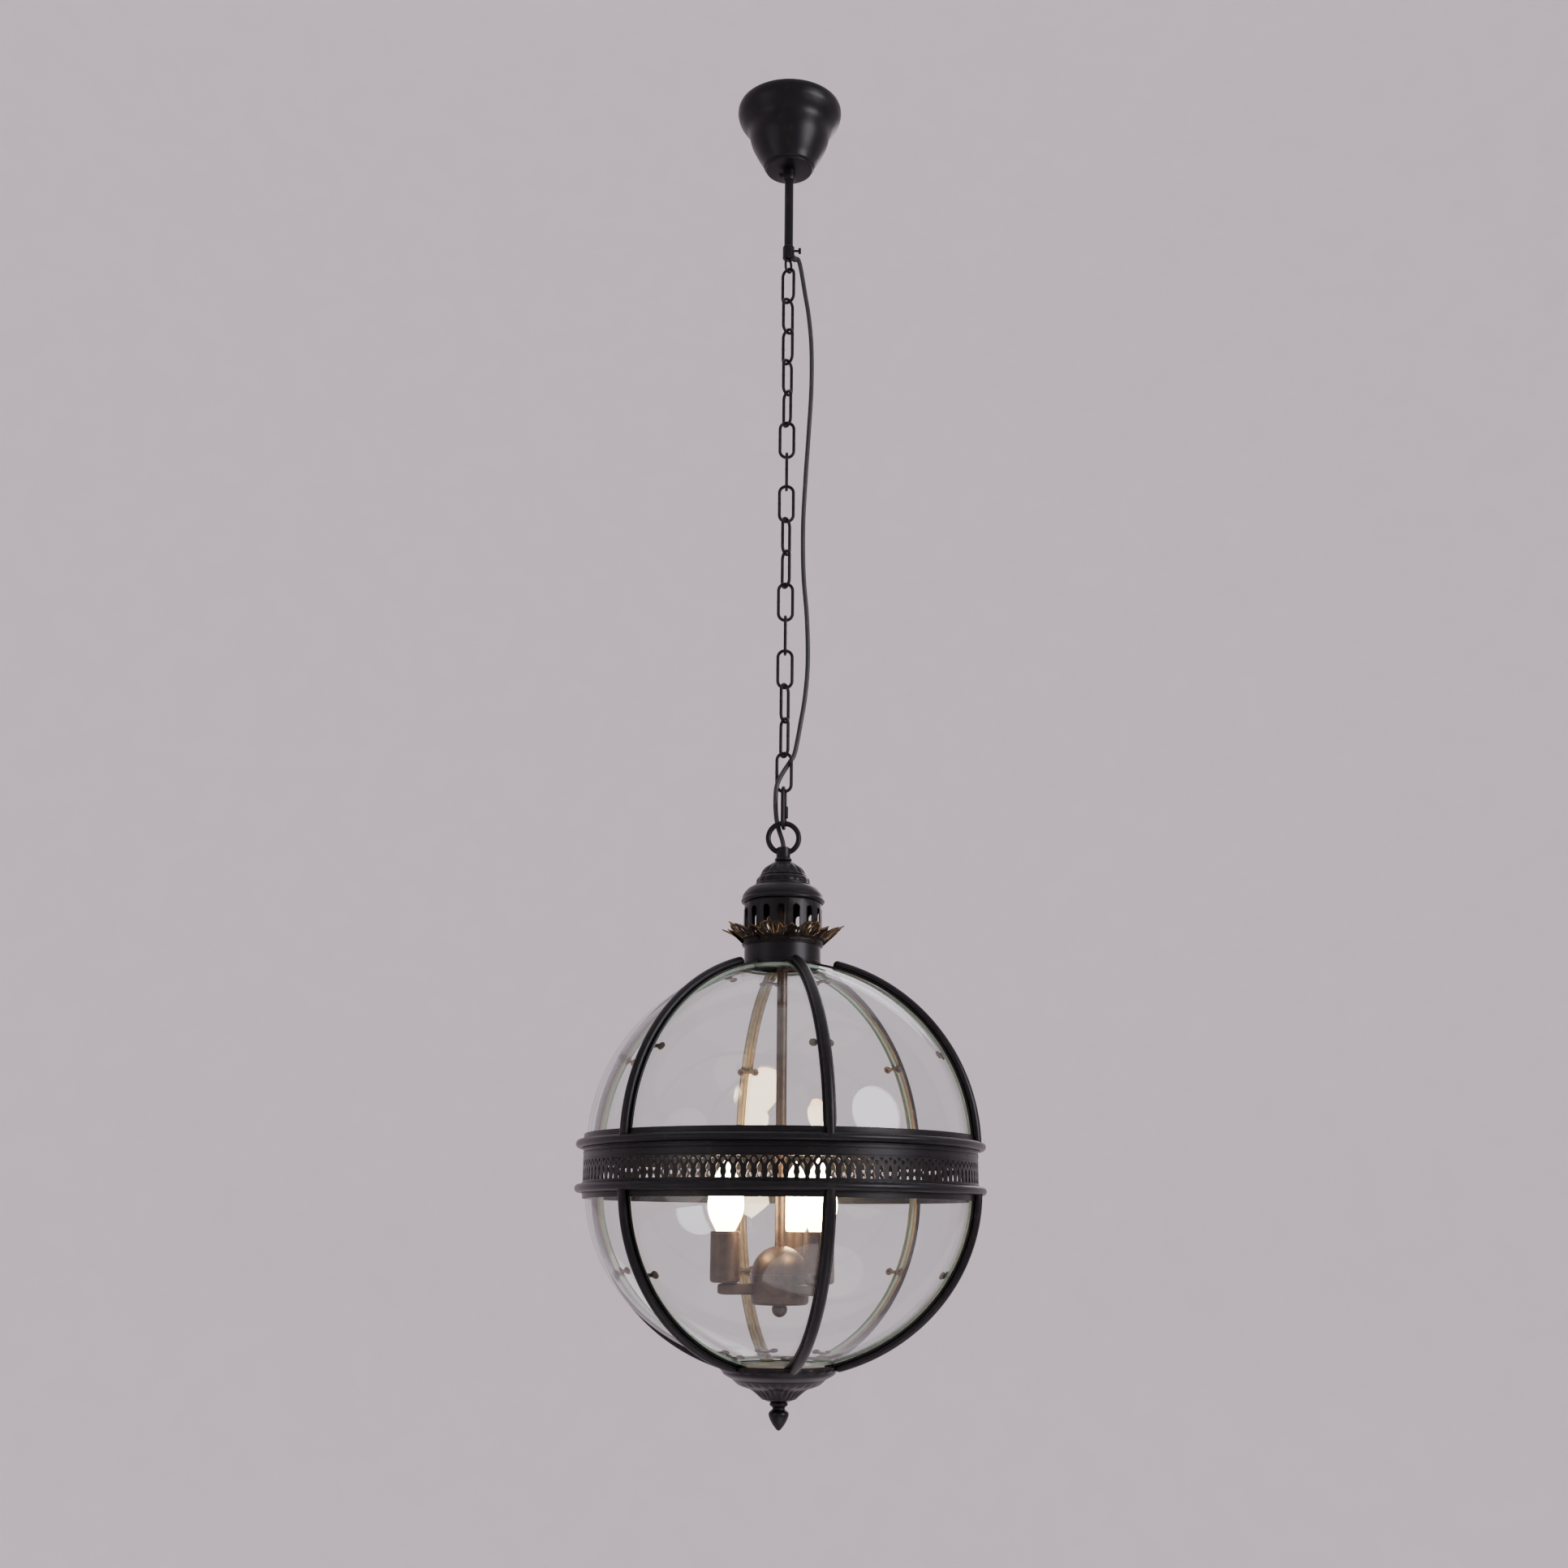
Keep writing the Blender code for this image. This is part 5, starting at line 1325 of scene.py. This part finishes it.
class LANTERN_OT_collar(bpy.types.Operator):
    """The collar under the coronet with its vented floor, and the plate that closes the cage's foot."""

    bl_idname = "lantern.collar"
    bl_label = "Collar and Foot Plate"

    def execute(self, context):
        wall, lip = COLLAR_R - 0.0012, COLLAR_FOOT - 0.0022
        profile = [(wall, COLLAR_TOP), (VENT_R + 0.0010, COLLAR_TOP), (VENT_R + 0.0012, COLLAR_TOP - 0.0003)]
        profile += [(VENT_R + 0.0012, COLLAR_TOP - 0.0010), (COLLAR_R, COLLAR_TOP - 0.0014)]
        profile += [(COLLAR_R, COLLAR_FOOT + 0.0026), (COLLAR_R + 0.0004, COLLAR_FOOT + 0.0022)]
        profile += [(COLLAR_R + 0.0004, COLLAR_FOOT), (COLLAR_R - 0.0002, lip), (wall - 0.0010, lip)]
        profile += [(wall, COLLAR_FOOT + 0.0040)]
        place("collar_band", Shape().lathe(profile, 96), [black_iron], "lantern", "black_iron", ["upper_frame"])

        bore, holes = ROD_TUBE_R + FIT, []
        vent = []
        for x, y in arc(0, 0, 0.0070, 0, 345, 23):
            spot = Vector((x, 0.022 + y))
            vent.append((0.5 + math.degrees(math.atan2(spot.x, spot.y)) / 60, spot.length))
        holes.append(vent)
        outline = [(0, bore), (1, bore), (1, wall), (0, wall)]
        grid = [(u, r) for u in between(0, 1, 8)[1:-1] for r in between(bore, wall, 6)]
        grid += [(u, r) for u in (0.0, 1.0) for r in between(bore, wall, 6)[1:-1]]
        z = COLLAR_FOOT + 0.004

        def wrap(share, r):
            azimuth = RIB_TURN + 360 * share
            return polar(r, azimuth, z + 0.0015), polar(r, azimuth, z)

        floor = pierced(Shape(), outline, holes, grid, RIBS, wrap)
        # The floor inside the globe is bronze painted lighter with the bulbs' warm light.
        place("collar_floor", floor, [bronze_with_painted_bulb_light], "lantern", "black_iron", ["upper_frame"])

        top = BELT_Z + BASE_RIM_Z - 0.0020
        reach = BASE_RIM_R - BASE_WALL - 0.0006
        profile = [(0.0036, top), (reach - 0.001, top), (reach, top - 0.0006), (reach, top - 0.0015)]
        profile += [(0.0036, top - 0.0015)]
        # The foot plate inside the globe is bronze painted lighter with the bulbs' warm light.
        place("foot_plate", Shape().lathe(profile, 96), [bronze_with_painted_bulb_light], "lantern", "black_iron", ["lower_frame"])
        return {"FINISHED"}


class LANTERN_OT_panes(bpy.types.Operator):
    """The twelve bent panes, with green ground edges."""

    bl_idname = "lantern.panes"
    bl_label = "Glass Panes"

    def execute(self, context):
        for k in range(RIBS):
            azimuth = RIB_TURN + 30 + 360 * k / RIBS
            for upper, half in ((True, "upper"), (False, "lower")):
                node = f"glass_{half}_{k + 1}"
                pane = self.pane(azimuth, upper)
                place(f"pane_{half}_{k + 1}", pane, [clear_glass, glass_edge], "lantern", "clear_glass", [node])
        return {"FINISHED"}

    def pane(self, azimuth, upper):
        inset, columns, rows = BAR_T + FIT, 20, 26
        first = angle_at_radius(BAR_R - inset, COLLAR_R + 0.0006 if upper else 0.0505)
        points = []
        for depth in (0.0, GLASS_T):
            for angle in between(first, angle_at_level(0.0222, upper), rows):
                centre, _, out = globe_point(angle, 0.0, upper, inset)
                centre -= out * depth
                far = -centre.y
                reach = 180 / RIBS - math.degrees(math.asin(PANE_GAP / far))
                for k in range(columns + 1):
                    points.append(polar(far, azimuth + reach * (2 * k / columns - 1), centre.z))
        width, layer = columns + 1, (columns + 1) * (rows + 1)
        faces = []
        for row in range(rows):
            for k in range(columns):
                corner = row * width + k
                face = (corner, corner + 1, corner + width + 1, corner + width)
                faces += [face, tuple(layer + n for n in face)]
        edge = list(range(width)) + [row * width + columns for row in range(1, rows + 1)]
        edge += [rows * width + k for k in range(columns - 1, -1, -1)]
        edge += [row * width for row in range(rows - 1, 0, -1)]
        rim = [(a, b, layer + b, layer + a) for a, b in zip(edge, edge[1:] + edge[:1])]
        shape = Shape().add(points, faces + rim)
        shape.kinds[len(faces):] = [1] * len(rim)
        return shape


class LANTERN_OT_base(bpy.types.Operator):
    """The reeded and fluted base cup, and the finial that holds it."""

    bl_idname = "lantern.base"
    bl_label = "Base and Finial"

    def execute(self, context):
        reeds = context.scene.lantern_sizes.base_reeds
        rim, top = BASE_RIM_R, BELT_Z + BASE_RIM_Z
        lip = [(rim - 0.0004, -0.0010, 0), (rim, -0.0015, 0), (rim, -0.0026, 0)]
        bead = [(rim - 0.0004, -0.0030, 0), (rim - 0.0002, -0.0036, 0.0007), (rim, -0.0046, 0.0010)]
        bead += [(rim - 0.0002, -0.0056, 0.0010), (rim - 0.0010, -0.0066, 0.0006)]
        bowl = smooth_line([(rim - 0.0016, -0.0070, 0), (rim - 0.0040, -0.0104, 0), (rim - 0.0110, -0.0142, 0),
                            (rim - 0.0122, -0.0152, 0)], 4)
        flute = smooth_line([(rim - 0.0128, -0.0158, 0), (rim - 0.0177, -0.0197, 0.0012),
                             (rim - 0.0232, -0.0219, 0.0020), (rim - 0.0290, -0.0238, 0.0022),
                             (rim - 0.0348, -0.0279, 0.0016), (rim - 0.0392, -0.0318, 0)], 4)
        foot = [(rim - 0.0398, -0.0326, 0), (rim - 0.0412, -0.0330, 0), (rim - 0.0452, -0.0345, 0)]
        outer = [Vector(p) for p in lip + bead] + bowl + flute + [Vector(p) for p in foot]
        inner = [Vector((rim - BASE_WALL, -0.0010, 0)), Vector((rim - BASE_WALL - 0.0006, -0.0064, 0))]
        inner += [Vector((p.x - 0.0018, p.y + 0.0013, 0)) for p in (bowl + flute)[2:-6:4]]
        profile = outer + [Vector((0.0036, -0.0350, 0)), Vector((0.0036, -0.0335, 0))] + inner[::-1]
        cup = Shape().lathe(profile, reeds * 6, top, lobes=reeds // 2)
        place("reeded_cup", cup, [black_iron], "lantern", "black_iron", ["base_cup"], crease=50)

        z = BASE_FOOT - FIT
        outline = [(0.0030, 0.0340), (0.0030, 0), (0.0078, 0), (0.0086, -0.0008), (0.0088, -0.0020)]
        outline += [(0.0086, -0.0029), (0.0078, -0.0035)]
        outline += smooth_line([(0.0070, -0.0040), (0.0060, -0.0052), (0.0064, -0.0066), (0.0091, -0.0088),
                                (0.0097, -0.0113), (0.0086, -0.0150), (0.0060, -0.0198), (0.0027, -0.0240),
                                (0.0010, -0.0254), (0, -0.0257)], 4)
        knob = Shape().lathe([(0, 0.0340)] + [tuple(p) for p in outline], 48, z)
        place("turned_finial", knob, [black_iron], "finial", "black_iron", ["finial"])
        return {"FINISHED"}


class LANTERN_OT_cluster(bpy.types.Operator):
    """The centre rod, the domed cup, the three arms and the ball knob."""

    bl_idname = "lantern.cluster"
    bl_label = "Candle Cluster"

    def execute(self, context):
        low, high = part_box("centre_rod")
        under = COLLAR_FOOT + 0.004 - FIT
        outline = [(0.0034, high.z), (ROD_TUBE_R, high.z), (ROD_TUBE_R, under), (0.0086, under)]
        outline += [(0.0088, under - 0.0004), (0.0088, under - 0.0018), (0.0084, under - 0.0022)]
        outline += [(ROD_TUBE_R, under - 0.0022), (ROD_TUBE_R, low.z), (0.0034, low.z)]
        place("rod_tube", Shape().lathe(outline, 40), [dark_bronze], "lantern", "dark_bronze", ["centre_rod"])

        tip, floor, hole = BELT_Z + CUP_TOP_Z, BELT_Z + CUP_FOOT_Z, ROD_TUBE_R + FIT
        centre = tip - CUP_R
        outer = arc(0, centre, CUP_R, 90 - math.degrees(math.asin(hole / CUP_R)), 0, 20)
        outer += [(CUP_R, floor + 0.0046)] + arc(CUP_R - 0.0040, floor + 0.0040, 0.0040, 0, -90, 6)
        inner = arc(0, centre, CUP_R - CUP_WALL, 78, 0, 12) + [(CUP_R - CUP_WALL, floor + 0.0052)]
        profile = outer + [(0.0033, floor), (0.0033, floor + CUP_WALL), (CUP_R - 0.0052, floor + CUP_WALL)]
        cup = Shape().lathe(profile + inner[::-1], 72)
        cup.tube([polar(CUP_R - 0.0001, 360 * k / 72, centre + 0.0006) for k in range(72)], 0.0006, 8, True,
                 Vector((0, 0, 1)))
        cup.tube([polar(CUP_R - 0.0001, 360 * k / 72, floor + 0.0070) for k in range(72)], 0.0005, 8, True,
                 Vector((0, 0, 1)))
        place("domed_cup", cup, [dark_bronze], "lantern", "dark_bronze", ["cluster_cup"])

        arms, middle = Shape(), ARM_TOP - ARM_H / 2
        hub = [(hole, ARM_TOP), (0.0106, ARM_TOP), (0.0110, ARM_TOP - 0.0004), (0.0110, ARM_TOP - ARM_H)]
        arms.lathe(hub + [(hole, ARM_TOP - ARM_H)], 40)
        reach = ARM_REACH + 0.0070
        for k in range(3):
            azimuth = ARM_TURN + 120 * k
            section = rounded(ARM_W, ARM_H, 0.0022, 4)
            rings = []
            for out, share in [(x, 1.0) for x in (0.008, 0.020, 0.032, 0.044, reach - 0.006)] + [
                (reach - 0.0030, 0.86), (reach - 0.0011, 0.62), (reach - 0.0002, 0.30)
            ]:
                spot, side = polar(out, azimuth, middle), polar(1, azimuth + 90, 0)
                rings.append([spot + side * u * share + Vector((0, 0, v * (0.5 + 0.5 * share))) for u, v in section])
            arms.loft(rings, False)
        place("candle_arms", arms, [dark_bronze], "lantern", "dark_bronze", ["cluster_arms"], crease=40)

        knob = [(0, floor + 0.0150), (0.0028, floor + 0.0150), (0.0028, floor - FIT), (0.0062, floor - FIT)]
        knob += [(0.0066, floor - 0.0010), (0.0062, floor - 0.0016)]
        knob += arc(0, floor - 0.0040, KNOB_R, 18, -90, 16)
        place("ball_knob", Shape().lathe(knob, 48), [dark_bronze], "lantern", "dark_bronze", ["cluster_knob"])
        return {"FINISHED"}


class LANTERN_OT_candles(bpy.types.Operator):
    """The candle sleeves with their lampholders, and the lit bulbs."""

    bl_idname = "lantern.candles"
    bl_label = "Candles and Bulbs"

    def execute(self, context):
        for number in (1, 2, 3):
            x, y, _ = polar(ARM_REACH, ARM_TURN + 120 * (number - 1), 0)
            full, height = SLEEVE_R, SLEEVE_H
            outline = [(0.0040, 0), (full - 0.0040, 0)] + arc(full - 0.0034, 0.0034, 0.0034, -90, 0, 6)
            outline += [(full, height - 0.0005), (full - 0.0005, height), (full - 0.0011, height)]
            outline += [(full - 0.0014, height - 0.0006), (full - 0.0014, height - 0.0060)]
            outline += [(0.0040, height - 0.0060)]
            sleeve = Shape().lathe(outline, 56, SLEEVE_FOOT, centre=(x, y))
            for z in (0.0052, height - 0.0024):
                ring = [polar(full, 360 * k / 56, SLEEVE_FOOT + z) + Vector((x, y, 0)) for k in range(56)]
                sleeve.tube(ring, 0.00035, 6, True, Vector((0, 0, 1)))
            holder = [(SOCKET_R, -0.0058), (SOCKET_R + 0.0030, -0.0058), (SOCKET_R + 0.0032, -0.0050)]
            holder += [(SOCKET_R + 0.0020, -0.0036), (SOCKET_R + 0.0004, -0.0034), (SOCKET_R, -0.0036)]
            sleeve.lathe(holder, 40, SLEEVE_FOOT + height, centre=(x, y), kind=1)
            name, finishes = f"candle_sleeve_shell_{number}", [dark_bronze, glazed_white]
            place(name, sleeve, finishes, "lantern", "dark_bronze", [f"candle_sleeve_{number}"])

            low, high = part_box(f"bulb_{number}")
            shell_top = low.z + 0.0295
            shell = [(0, low.z), (BULB_BASE_R - 0.002, low.z), (BULB_BASE_R - 0.0004, low.z + 0.0016)]
            for k in range(28):
                swell = 0.0003 * math.cos(2 * math.pi * k / 4)
                shell.append((BULB_BASE_R - 0.0004 + swell, low.z + 0.003 + 0.0255 * k / 27))
            shell.append((0, shell_top))
            bulb = Shape().lathe(shell, 40, centre=(x, y), kind=1)
            body = high.z - BULB_H
            line = [(BULB_BASE_R - 0.0002, shell_top - body), (BULB_BASE_R + 0.0008, 0.0005)]
            for share, width in ((0.10, 0.62), (0.24, 0.90), (0.40, 1.0), (0.60, 0.88), (0.80, 0.55), (0.93, 0.22)):
                line.append((BULB_R * width, BULB_H * share))
            line += [(BULB_R * 0.07, BULB_H * 0.985), (0, BULB_H)]
            flame = [tuple(p) for p in smooth_line(line, 5)]
            flame = [(max(r, 0.0), min(z, BULB_H)) for r, z in flame]
            bulb.lathe([(0, line[0][1])] + flame, 40, body, centre=(x, y))
            node = f"bulb_{number}"
            place(f"flame_bulb_{number}", bulb, [bulb_glow, lamp_brass], node, "lit_bulb", [node], crease=60)
        return {"FINISHED"}


OPERATORS = (
    LANTERN_OT_stage, LANTERN_OT_cord, LANTERN_OT_fixings, LANTERN_OT_canopy, LANTERN_OT_stem, LANTERN_OT_chain,
    LANTERN_OT_loop, LANTERN_OT_crown, LANTERN_OT_vent, LANTERN_OT_coronet, LANTERN_OT_ribs, LANTERN_OT_belt,
    LANTERN_OT_collar, LANTERN_OT_panes, LANTERN_OT_base, LANTERN_OT_cluster, LANTERN_OT_candles,
)


class LANTERN_PT_looks(bpy.types.Panel):
    """Lists the lantern's pieces, colours and sizes."""

    bl_idname = "LANTERN_PT_looks"
    bl_label = "Hanging Lantern"
    bl_space_type = "VIEW_3D"
    bl_region_type = "UI"
    bl_category = "Lantern"

    def draw(self, context):
        for group in (context.scene.lantern_looks, context.scene.lantern_sizes):
            for name in group.__annotations__:
                self.layout.prop(group, name)
        for operator in OPERATORS:
            self.layout.operator(operator.bl_idname)


CLASSES = (LanternLooks, LanternSizes, *OPERATORS, LANTERN_PT_looks)


def register():
    for made in CLASSES:
        bpy.utils.register_class(made)
    bpy.types.Scene.lantern_looks = bpy.props.PointerProperty(type=LanternLooks)
    bpy.types.Scene.lantern_sizes = bpy.props.PointerProperty(type=LanternSizes)


def unregister():
    del bpy.types.Scene.lantern_sizes
    del bpy.types.Scene.lantern_looks
    for made in reversed(CLASSES):
        bpy.utils.unregister_class(made)


def main():
    register()
    for operator in OPERATORS:
        group, name = operator.bl_idname.split(".")
        getattr(getattr(bpy.ops, group), name)()


if __name__ == "__main__":
    main()
